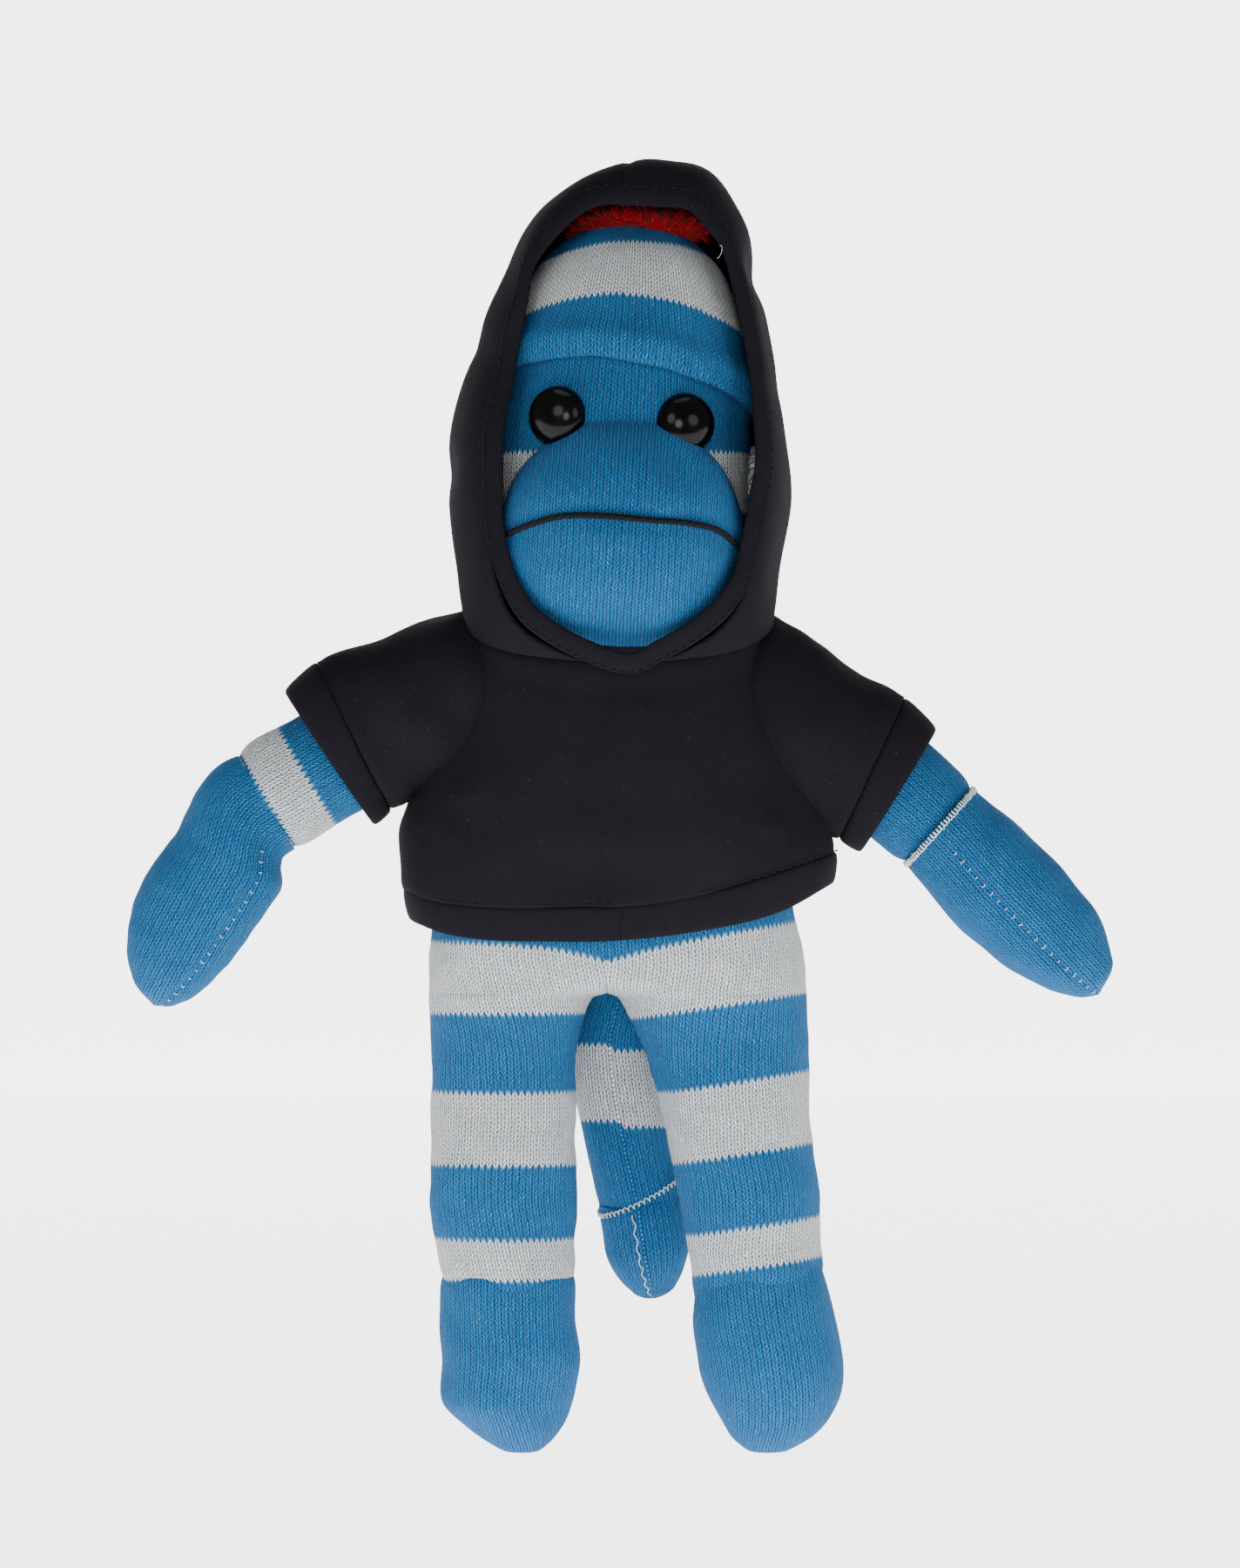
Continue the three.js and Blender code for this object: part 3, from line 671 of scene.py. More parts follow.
def tube(
    name: str, path: np.ndarray, radius: float, turns_per_mm: float, sides: int = 8, loop: bool = False,
) -> Piece:
    """Makes a strand along a path.

    Args:
        name: the piece's name.
        path: the points of its middle line, mm.
        radius: its radius, mm.
        turns_per_mm: how often its plies wind round it.
        sides: the number of sides.
        loop: whether it closes on itself.

    Returns:
        The strand.
    """
    if loop:
        path = np.vstack([path, path[:1]])
    ahead = np.gradient(path, axis=0)
    if loop:
        ahead[0] = ahead[-1] = path[1] - path[-2]
    ahead /= np.maximum(np.linalg.norm(ahead, axis=1, keepdims=True), 1e-9)
    helper = np.tile([0.31, -0.9, 0.29], (len(path), 1))
    first = np.cross(ahead, helper)
    first /= np.linalg.norm(first, axis=1, keepdims=True)
    second = np.cross(ahead, first)
    angle = np.linspace(0, 2 * math.pi, sides + 1)
    size = np.full(len(path), radius)
    if not loop:
        size[[0, -1]] = radius * 0.05
    ring = first[:, None] * np.cos(angle)[None, :, None] + second[:, None] * np.sin(angle)[None, :, None]
    points = path[:, None] + ring * size[:, None, None]
    length = path_lengths(path)
    layout = np.stack(
        np.broadcast_arrays(angle[None] / (2 * math.pi), length[:, None] * turns_per_mm), axis=-1,
    )
    return grid_piece(name, points, layout)


def thread_seam(
    name: str, path: np.ndarray, out: np.ndarray, loops: int, reach: float, radius: float,
) -> Piece:
    """Makes overlock thread: loops of thread that cross a seam again and again.

    Args:
        name: the piece's name.
        path: the seam's line, mm.
        out: the direction away from the cloth, at each point of the line.
        loops: how many loops there are.
        reach: how far a loop reaches to each side, mm.
        radius: the thread's radius, mm.

    Returns:
        The thread.
    """
    at = np.linspace(0, len(path) - 1, loops * 8)
    steps = np.arange(len(path))
    line = read_path(path, steps, at)
    away = read_path(out, steps, at)
    away /= np.linalg.norm(away, axis=1, keepdims=True)
    ahead = np.gradient(line, axis=0)
    ahead /= np.maximum(np.linalg.norm(ahead, axis=1, keepdims=True), 1e-9)
    side = np.cross(ahead, away)
    turn = np.arange(len(at)) / 8 * 2 * math.pi
    uneven = 1 + 0.22 * np.sin(np.arange(len(at)) * 1.37)
    swing = (reach * np.sin(turn) * uneven)[:, None]
    lift = (radius * (0.9 + 0.8 * np.cos(2 * turn)))[:, None]
    slant = (reach * 0.45 * np.cos(turn))[:, None]
    return tube(name, line + side * swing + away * lift + ahead * slant, radius, 1.2, 6)


def thickened(piece: Piece, thickness: float, offset: float = -1.0) -> Piece:
    """Gives a sheet its thickness, in mm, inwards unless the offset says otherwise.

    Args:
        piece: the sheet.
        thickness: its thickness, mm.
        offset: -1 for inwards, 1 for outwards.

    Returns:
        The same piece.
    """
    solid = piece.modifiers.new("cloth thickness", "SOLIDIFY")
    solid.thickness = thickness * MM
    solid.offset = offset
    return piece


def smoothed(piece: Piece, levels: int = 1) -> Piece:
    """Rounds a piece by subdividing it.

    Args:
        piece: the piece.
        levels: how often it is divided.

    Returns:
        The same piece.
    """
    rounder = piece.modifiers.new("rounding", "SUBSURF")
    rounder.levels = levels
    rounder.render_levels = levels
    return piece


def dressed(piece: Piece, material: bpy.types.Material) -> Piece:
    """Puts a material on a piece.

    Args:
        piece: the piece.
        material: its material.

    Returns:
        The same piece.
    """
    piece.data.materials.clear()
    piece.data.materials.append(material)
    return piece


def path_lengths(path: np.ndarray) -> np.ndarray:
    """Gives how far each point of a path is along it, mm."""
    return np.concatenate([[0], np.cumsum(np.linalg.norm(np.diff(path, axis=0), axis=1))])


def read_path(path: np.ndarray, lengths: np.ndarray, at: Any) -> np.ndarray:
    """Reads a path of points at places along it.

    Args:
        path: the points, or directions, one in each row.
        lengths: how far each of them is along the path.
        at: a place, or an array of them.

    Returns:
        The point there, or the array of points.
    """
    return np.stack([np.interp(at, lengths, column) for column in path.T], axis=-1)


def ring_lengths(points: np.ndarray) -> np.ndarray:
    """Gives, on each row of a grid, how far each column is along the row, in mm."""
    steps = np.linalg.norm(np.diff(points, axis=1), axis=-1)
    return np.concatenate([np.zeros((len(points), 1)), np.cumsum(steps, axis=1)], axis=1)


def step(value: Any, low: float, high: float) -> Any:
    """Goes smoothly from 0 at low to 1 at high."""
    t = np.clip((np.asarray(value, float) - low) / (high - low), 0, 1)
    return t * t * (3 - 2 * t)


class Side(Enum):
    """The toy's own right and left, with the sign of X."""

    RIGHT = ("right", -1)
    LEFT = ("left", 1)

    def word(self) -> str:
        """Gives the side's name."""
        return self.value[0]

    def sign(self) -> int:
        """Gives the sign of X on this side."""
        return self.value[1]


@dataclass
class Wardrobe:
    """Every finish, built once."""

    def __post_init__(self) -> None:
        """Builds the materials."""
        blue, white = Yarn.BLUE, Yarn.WHITE
        body = (
            (0.0, white), (41.7, blue), (56.2, white), (70.2, blue), (85.8, white), (100.0, blue),
            (116.0, white),
        )
        self.body = KnitFinish("striped sock", ((0.0, blue), (34.0, white), *body[1:])).material()
        self.plain = KnitFinish("plain blue sock").material()
        arm = ((0.0, blue), (4.0, white), (12.6, blue), (27.0, white), (41.0, blue))
        self.right_arm = KnitFinish("right arm sock", arm).material()
        self.left_arm = KnitFinish(
            "left arm sock", ((0.0, blue), (16.5, white), (30.0, blue)),
        ).material()
        tail = ((0.0, blue), (65.0, white), (79.5, blue))
        self.tail = KnitFinish("tail sock", tail).material()
        head = ((0.0, white), (170.0, blue), (184.0, white), (195.4, blue), (250.0, white))
        self.head = KnitFinish("head sock", head).material()
        hat = ((0.0, blue), (225.8, white), (238.6, blue))
        self.hat = KnitFinish("cap sock", hat).material()
        ear = ((0.0, blue), (187.5, white))
        self.ear = KnitFinish("ear sock", ear).material()
        self.fleece = FleeceFinish().material()
        # each strand's second colour is painted shade in the grooves between its plies
        self.mouth = StrandFinish("black mouth yarn", (17, 20, 25), (3, 3, 4)).material()
        self.sewing = StrandFinish("black sewing thread", (26, 25, 30), (8, 8, 10), 0.00004).material()
        self.thread = StrandFinish(
            "white overlock thread", (226, 229, 231), (140, 146, 150), 0.00005,
        ).material()
        self.neck = StrandFinish(
            "blue gathering thread", (96, 150, 180), (40, 80, 104), 0.00005,
        ).material()
        self.pile = PileFinish().material()
        self.eye = PlasticFinish("black eye plastic", (3, 3, 4)).material()
        self.washer = PlasticFinish("white washer plastic", (205, 208, 210), 0.35).material()


@dataclass
class Dressing:
    """A part of the toy, whose pieces are built first and dressed afterwards."""

    finishes: Wardrobe
    looks: list[tuple[Piece, bpy.types.Material, str]] = field(default_factory=list, init=False)

    def wear(self, piece: Piece, material: bpy.types.Material, slot: str) -> Piece:
        """Notes the finish that a piece gets."""
        self.looks.append((piece, material, slot))
        return piece

    def dress(self) -> None:
        """Puts the noted finishes on the pieces."""
        for piece, material, slot in self.looks:
            dressed(piece, material)


# ---------------------------------------------------------------- the striped body and its legs


@dataclass
class Trousers(Dressing):
    """The torso and the two legs, cut from the leg of one sock, and the feet."""

    crotch: float = 90.4  # height of the crotch, mm
    middle: float = -2.9  # X of the crotch, mm
    cut: float = 86.2  # where a leg's own piece starts, mm
    seam: float = 34.8  # where the foot starts, mm
    foot_top: float = 36.0
    columns: int = 96

    def outline(self, side: Side, z: np.ndarray) -> tuple[np.ndarray, ...]:
        """Gives the inner and outer X, the half depth, and how far forward the middle line reaches, at
        heights.

        Args:
            side: which half.
            z: the heights, mm.

        Returns:
            Four arrays, one value for each height.
        """
        if side is Side.RIGHT:
            outer = (
                (34, -35.3), (40, -36.5), (50, -37.8), (61, -37.5), (76, -37.4), (86, -37.8),
                (96, -38.1), (104, -37), (120, -33), (135, -28), (146, -21), (153, -12), (156, -7),
            )
            inner = (
                (34, -9.2), (40, -9.0), (50, -8.6), (61, -8.8), (76, -8.9), (82, -8.2), (86.1, -7.3),
                (88.9, -6.2), (89.9, -5.2), (90.4, -2.9), (156, -2.9),
            )
        else:
            outer = (
                (34, 39.6), (40, 38.8), (50, 38.7), (61, 37.0), (76, 36.4), (86, 36.2), (96, 35.6),
                (104, 34), (120, 31), (135, 26), (146, 19), (153, 8), (156, 2),
            )
            inner = (
                (34, 14.2), (40, 13.4), (50, 11.3), (61, 8.9), (71, 6.9), (76, 5.6), (82, 3.3),
                (86.1, 1.4), (88.9, 0.1), (89.9, -1.0), (90.4, -2.9), (156, -2.9),
            )
        depth = (
            (34, 13.2), (50, 14.2), (76, 14.6), (84, 15.6), (92, 18.2), (100, 20), (118, 20.5),
            (135, 18), (146, 14), (153, 7), (156, 4),
        )
        front = (
            (self.crotch, 0.0), (90.8, 0.5), (91.5, 0.76), (92.8, 0.93), (94.6, 0.99), (96.5, 1.0),
            (200, 1.0),
        )
        return along(inner, z), along(outer, z), along(depth, z), along(front, z)

    def half(self, side: Side, heights: np.ndarray) -> np.ndarray:
        """Gives the grid of one half: each row goes from the front middle line round the outer side to
        the back.

        Args:
            side: which half.
            heights: the height of each row, mm.

        Returns:
            The grid, mm.
        """
        inner, outer, depth, front = (v[:, None] for v in self.outline(side, heights))
        z = heights[:, None]
        centre = (inner + outer) / 2
        turn = np.linspace(0, 1, self.columns + 1)[None]
        angle = turn * 2 * math.pi
        x = centre + (inner - centre) * np.cos(angle)
        round_way = np.abs(np.sin(angle))
        filled_out = np.where(np.cos(angle) > 0, front + (1 - front) * round_way, round_way)
        y = -np.sign(0.5 - turn) * depth * filled_out
        return np.stack(np.broadcast_arrays(x, y + MIDDLE_Y, z), axis=-1)

    def knit_height(self, x: np.ndarray, z: np.ndarray) -> np.ndarray:
        """Gives where the rows of stitches lie: they climb to the toy's left and dip to the crotch.

        Args:
            x: X of the points, mm.
            z: their heights, mm.

        Returns:
            Their heights in the knit, mm.
        """
        beyond = np.abs(x - self.middle)
        right = 1.785 * np.exp(-beyond / 10) * step(z, 88, 92)
        left = -0.15 * (x - 9)
        dip = 2.3 * np.exp(-beyond / 12) * step(z, 88, 94)
        return z + np.where(x > self.middle, left, right) + dip

    def layout(self, points: np.ndarray) -> np.ndarray:
        """Gives the stitches across and up.

        Args:
            points: a grid of points, mm.

        Returns:
            The stitches at each point.
        """
        lengths = ring_lengths(points)
        side = points.shape[1] // 2
        across = (lengths - lengths[:, side : side + 1]) / WALE
        return np.stack([across, self.knit_height(points[..., 0], points[..., 2]) / COURSE], axis=-1)

    def filled(self, points: np.ndarray) -> np.ndarray:
        """Makes a half uneven, as its filling is, but not along the middle line that the halves share.

        Args:
            points: a grid of points, mm.

        Returns:
            The moved grid, mm.
        """
        free = np.clip(np.abs(points[..., 0] - self.middle) / 6, 0, 1)
        legs = step(points[..., 2], 92, 84)
        free = np.maximum(free, legs * 0.8)
        shift = ripple(points * [1, 1, 0.8], 17, 5) * 0.35 + ripple(points, 6, 9) * 0.12
        return points + outward(points) * (shift * free)[..., None]

    def build(self) -> None:
        """Builds the torso, the legs and the feet."""
        halves = []
        near = [
            np.linspace(100, 91.5, 14)[:-1], np.linspace(91.5, 88.5, 16)[:-1],
            np.linspace(88.5, self.cut, 6),
        ]
        hips = np.concatenate([np.linspace(156, 100, 22)[:-1], *near])
        heights = np.concatenate([hips, np.linspace(self.cut, self.seam - 2.5, 84)[1:]])
        legs = {}
        for side in Side:
            points = self.filled(self.half(side, heights))
            upper = points[: len(hips)]
            halves.append(grid_piece(f"{side.word()} half", upper, self.layout(upper)))
            legs[side] = points[len(hips) - 1 :]
        torso = self.wear(joined("torso_knit_soft", halves, 0.02), self.finishes.body, "striped_knit")
        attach(torso, "torso")
        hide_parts("torso_knit", "torso_filling")
        LOG.info("torso: %d corners", len(torso.data.vertices))
        for side in Side:
            self.leg(side, legs[side])
            self.foot(side)

    def leg(self, side: Side, points: np.ndarray) -> None:
        """Builds one leg from its grid, which runs from under the hips to the ankle.

        Args:
            side: which leg.
            points: its grid, mm.
        """
        word = side.word()
        pinch = (1 - step(points[..., 2], self.seam - 2.5, self.seam + 1.2)) * 0.03
        middle = points.mean(axis=1, keepdims=True)
        points = points + (middle - points) * pinch[..., None] * [1, 1, 0]
        if side is Side.LEFT:
            points[..., 2] += 0.15 * (points[..., 0] - 27) * step(points[..., 2], 60, 38)
        piece = grid_piece(f"{word}_leg_soft", points, self.layout(points))
        self.wear(piece, self.finishes.body, "striped_knit")
        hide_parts(f"{word}_leg_knit", f"{word}_leg_filling")
        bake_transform(piece)
        self.ankle(side, points[-7])
        LOG.info("%s leg", word)

    def ankle(self, side: Side, ring: np.ndarray) -> None:
        """Builds the overlock thread that lies in the seam at the ankle.

        Args:
            side: which leg.
            ring: the row of points at the seam, mm.
        """
        word = side.word()
        middle = ring.mean(axis=0)
        out = ring - middle
        out[:, 2] = 0
        out /= np.linalg.norm(out, axis=1, keepdims=True)
        piece = thread_seam(
            f"{word}_ankle_thread_soft", ring - out * 0.9 - [0, 0, 0.9], out, 58, 0.55, 0.17,
        )
        self.wear(piece, self.finishes.thread, "white_thread")
        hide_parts(f"{word}_ankle_thread")
        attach(piece, f"{word}_leg")

    def foot(self, side: Side) -> None:
        """Builds one foot, closed and rounded below.

        Args:
            side: which foot.
        """
        word = side.word()
        if side is Side.RIGHT:
            centre = ((0, -19.6), (5.7, -21.2), (10, -22.4), (18.6, -21.8), (27, -22.1), (36, -22.2))
            radius = (
                (0, 0.0), (0.2, 2.4), (0.7, 3.9), (1.5, 5.2), (3, 7.2), (5.7, 9.9), (8, 11.6),
                (10, 12.6), (14.3, 13.4), (18.5, 13.6), (27, 13.3), (31, 13.1), (34, 12.9), (36, 12.3),
            )
        else:
            centre = ((0, 28.6), (5.7, 30), (10, 30.1), (18.6, 29.2), (27, 27.8), (32, 27.2), (36, 26.7))
            radius = (
                (0, 0.0), (0.2, 2.6), (0.7, 4.2), (1.5, 5.6), (3, 7.7), (5.7, 10.0), (10, 12.4),
                (14, 13.6), (18.5, 14.1), (27, 13.6), (31, 13.1), (34, 12.6), (36, 12.0),
            )
        rise = np.linspace(0, 1, 64)
        heights = self.foot_top * (1 - np.cos(rise * math.pi / 2)) ** 0.8
        heights[0] = 0
        angle = np.linspace(-math.pi / 2, 1.5 * math.pi, self.columns + 1)[None]
        r, c = along(radius, heights)[:, None], along(centre, heights)[:, None]
        r[0] = 0.02
        x = c - r * np.cos(angle) * side.sign()
        y = MIDDLE_Y - r * np.sin(angle) * 1.02
        z = np.broadcast_to(heights[:, None], x.shape).copy()
        points = np.stack([x, y, z], axis=-1)
        uneven = ripple(points, 14, 21 + side.sign()) * 0.35 * step(heights, 1.5, 9)[:, None]
        spread = points - np.stack([c + 0 * x, MIDDLE_Y + 0 * y, z], axis=-1)
        points = points + spread / np.maximum(r, 1)[..., None] * uneven[..., None]
        if side is Side.LEFT:
            points[..., 2] += 0.15 * (points[..., 0] - 27) * step(points[..., 2], 8, 34)
        lengths = ring_lengths(points)
        middle = self.columns // 2
        across = (lengths - lengths[:, middle : middle + 1]) / WALE
        up = np.concatenate([[0], np.cumsum(np.hypot(np.diff(heights), np.diff(r[:, 0])))])
        layout = np.stack(np.broadcast_arrays(across, (up[:, None] + 4) / COURSE), axis=-1)
        piece = grid_piece(f"{word}_foot_soft", points, layout)
        self.wear(piece, self.finishes.plain, "blue_knit")
        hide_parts(f"{word}_foot_knit", f"{word}_foot_filling")
        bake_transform(piece)
        LOG.info("%s foot", word)


# ---------------------------------------------------------------- arms, mitts and tail


@dataclass
class Arm(Dressing):
    """One arm in its sleeve, with its mitt."""

    frame: dict[str, Any]
    side: Side
    radius: float = 11.2  # of the right arm at the wrist, mm
    left_radius: float = 10.4
    mitt_length: float = 45.85
    columns: int = 72

    def joint(self, name: str) -> np.ndarray:
        """Gives the place of one of the arm's joints, mm."""
        full = f"{self.side.word()}_{name}"
        return np.array(next(j["pos_m"] for j in self.frame["joints"] if j["name"] == full)) / MM

    def heading(self) -> tuple[np.ndarray, np.ndarray]:
        """Gives the directions of the arm and of the mitt.

        Returns:
            Two unit directions, the arm's and the mitt's.
        """
        arm = self.joint("wrist") - self.joint("shoulder")
        low, high = (np.array(v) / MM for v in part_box(f"{self.side.word()}_mitt_knit"))
        tip = np.array(
            [low[0] + 6.2 if self.side is Side.RIGHT else high[0] - 3.9, arm[1] + MIDDLE_Y, low[2] + 1.6]
        )
        mitt = tip - self.joint("wrist")
        return arm / np.linalg.norm(arm), mitt / np.linalg.norm(mitt)

    def widths(self) -> tuple[Curve, Curve, Curve]:
        """Gives the mitt's reach to its upper side, to its lower side, and its half depth, along it.

        Returns:
            The upper reach, the lower reach and the half depth.
        """
        if self.side is Side.RIGHT:
            upper = (
                (0, 11.1), (3, 11.6), (8, 12.2), (15, 12.5), (25, 13.5), (31, 13.1), (35, 12.0),
                (39, 9.8), (42, 7.2), (44.4, 4.3), (45.8, 0),
            )
            lower = (
                (0, 11.0), (3.5, 11.3), (6, 11.9), (11, 11.7), (16, 11.2), (22, 10.4), (30, 9.1),
                (38, 7.0), (42.5, 4.6), (44.8, 2.4), (45.8, 0),
            )
        else:
            upper = (
                (0, 9.9), (3, 10.3), (8.5, 11.1), (15, 11.9), (22, 12), (28, 11.8), (33, 11.2),
                (37.7, 9.8), (41.7, 7.6), (44.4, 4.8), (45.9, 0),
            )
            lower = (
                (0, 9.9), (4.6, 10.5), (10.5, 10.9), (16.7, 10.8), (23, 10.4), (30, 9.3), (36, 7.5),
                (40.5, 5.4), (44, 2.8), (45.9, 0),
            )
        depth = (
            (0, 9.6), (4, 10.2), (15, 10.6), (28, 9.9), (37, 8.2), (42, 5.9), (44.6, 3.4), (45.9, 0),
        )
        return upper, lower, depth

    def sections(
        self, start: np.ndarray, heading: np.ndarray, at: np.ndarray, widths: tuple,
    ) -> np.ndarray:
        """Gives a limb's grid from its widths along a line.

        Args:
            start: where the line starts, mm.
            heading: its direction.
            at: how far along it each row is, mm.
            widths: the upper, lower and deep curves.

        Returns:
            The grid, mm.
        """
        up = np.cross(heading, [0, 1, 0])
        up *= np.sign(up[2]) or 1
        upper, lower, depth = (along(curve, at)[:, None] for curve in widths)
        angle = np.linspace(0, 2 * math.pi, self.columns + 1)[None]
        sideways = np.cos(angle)
        reach = np.where(sideways > 0, upper, lower) * sideways
        deep = -depth * np.sin(angle)
        return (
            start + heading * at[:, None, None] + up * reach[..., None]
            + np.array([0, 1.0, 0]) * deep[..., None]
        )

    def folded_layout(self, points: np.ndarray, rise: np.ndarray) -> np.ndarray:
        """Gives the stitches of two layers that are sewn together along the upper and the lower edge.

        Args:
            points: a grid of points, mm.
            rise: how far up each row is, mm.

        Returns:
            The stitches at each point.
        """
        quarter = self.columns // 4
        lengths = ring_lengths(points)
        front = lengths - lengths[:, quarter : quarter + 1]
        back = lengths - lengths[:, 3 * quarter : 3 * quarter + 1] + 150 * WALE
        half = np.arange(points.shape[1]) <= self.columns // 2
        across = np.where(half[None], front, back) / WALE + 0.5
        return np.stack(np.broadcast_arrays(across, rise[:, None] / COURSE), axis=-1)

    def build(self) -> None:
        """Builds the arm, the mitt and the thread between them."""
        word = self.side.word()
        heading, mitt_heading = self.heading()
        shoulder, wrist = self.joint("shoulder"), self.joint("wrist")
        length = float(np.linalg.norm(wrist - shoulder))
        at = np.linspace(3, length + 0.8, 46)
        end = self.radius if self.side is Side.RIGHT else self.left_radius
        plain = (
            (3, 0.5), (6, 3.6), (12, 7.0), (18, 9.4), (24, 10.8), (length - 6, end + 0.1),
            (length - 1.5, end - 0.2), (length + 0.8, end - 1.3),
        )
        deep = tuple((place, value * 0.9) for place, value in plain)
        points = softened(
            self.sections(shoulder, heading, at, (plain, plain, deep)), 0.25, 12, 31 + self.side.sign(),
        )
        across = np.broadcast_to(np.linspace(0, 50, self.columns + 1), points.shape[:2])
        layout = np.stack(
            [across, np.broadcast_to(((length + 4 - at) / COURSE)[:, None], across.shape)], axis=-1,
        )
        arm = grid_piece(f"{word}_arm_soft", points, layout)
        self.wear(
            arm, self.finishes.right_arm if self.side is Side.RIGHT else self.finishes.left_arm,
            "striped_knit",
        )
        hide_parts(f"{word}_arm_knit", f"{word}_arm_filling")
        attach(arm, f"{word}_arm")
        self.mitt(wrist, heading, mitt_heading)
        LOG.info("%s arm and mitt", word)

    def mitt(self, wrist: np.ndarray, heading: np.ndarray, mitt_heading: np.ndarray) -> None:
        """Builds the mitt, its wrist turned to meet the arm, and its threads.

        Args:
            wrist: the place of the wrist, mm.
            heading: the arm's direction.
            mitt_heading: the mitt's direction.
        """
        word = self.side.word()
        at = self.mitt_length * np.sin(np.linspace(0, 1, 78) * math.pi / 2) ** 1.15
        points = self.sections(wrist, mitt_heading, at, self.widths())
        arm_rows = self.sections(wrist, heading, at, self.widths())
        ease = (1 - step(at, 0, 15))[:, None, None]
        points = points * (1 - ease) + arm_rows * ease
        points[-1] = points[-1].mean(axis=0)
        uneven = (
            (ripple(points, 15, 44 + self.side.sign()) * 0.4 + ripple(points, 6, 47) * 0.12)
            * step(45 - at, 0, 6)[:, None]
        )
        beside = (np.arange(points.shape[1]) - self.edge_column()) / 1.5
        crease = np.exp(-(beside[None] ** 2)) * (step(at, 2, 8) * step(45.8 - at, 0, 5))[:, None] * 0.5
        points = points + outward(points) * (uneven - crease)[..., None]
        layout = self.folded_layout(points, 60 - at)
        mitt = grid_piece(f"{word}_mitt_soft", points, layout)
        self.wear(mitt, self.finishes.plain, "blue_knit")
        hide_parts(f"{word}_mitt_knit", f"{word}_mitt_filling")
        far = wrist + mitt_heading * 15
        tuple(far * MM)
        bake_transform(mitt)
        ring = points[1]
        out = ring - ring.mean(axis=0)
        out /= np.linalg.norm(out, axis=1, keepdims=True)
        proud = 0.12 if self.side is Side.LEFT else -0.8
        seam = thread_seam("wrist overlock", ring + out * proud, out, 84, 0.55, 0.15)
        keep = [seam, *self.curls(points[:, self.edge_column()], outward(points)[:, self.edge_column()])]
        thread = self.wear(
            joined(f"{word}_wrist_thread_soft", keep), self.finishes.thread, "white_thread",
        )
        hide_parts(f"{word}_wrist_thread")
        tuple(far * MM)
        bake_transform(thread)

    def edge_column(self) -> int:
        """Gives the column of the grid where the mitt's sewn edge shows."""
        return round(self.columns * (0.345 if self.side is Side.RIGHT else 0.272))

    def curls(self, line: np.ndarray, away: np.ndarray) -> list[Piece]:
        """Builds the small curls of thread that show along the mitt's sewn edge.

        Args:
            line: the points of the edge, mm.
            away: the directions away from the cloth there.

        Returns:
            The curls.
        """
        lengths = path_lengths(line)
        made = []
        for k, at in enumerate(np.arange(6.0, lengths[-1] - 2.0, 2.1)):
            middle = read_path(line, lengths, at)
            ahead = read_path(line, lengths, at + 1) - middle
            out = read_path(away, lengths, at)
            side = np.cross(ahead, out)
            side /= max(np.linalg.norm(side), 1e-6)
            turn = np.linspace(-1.9, 1.9 + 0.5 * math.sin(k * 2.3), 9)[:, None]
            size = 0.32 + 0.1 * math.sin(k * 1.7)
            curl = (
                middle + (side * np.sin(turn) + ahead * np.cos(turn) * 0.7) * size
                + out * (0.22 + 0.12 * np.cos(turn))
            )
            made.append(tube("curl", curl, 0.1, 1.2, 5))
        return made


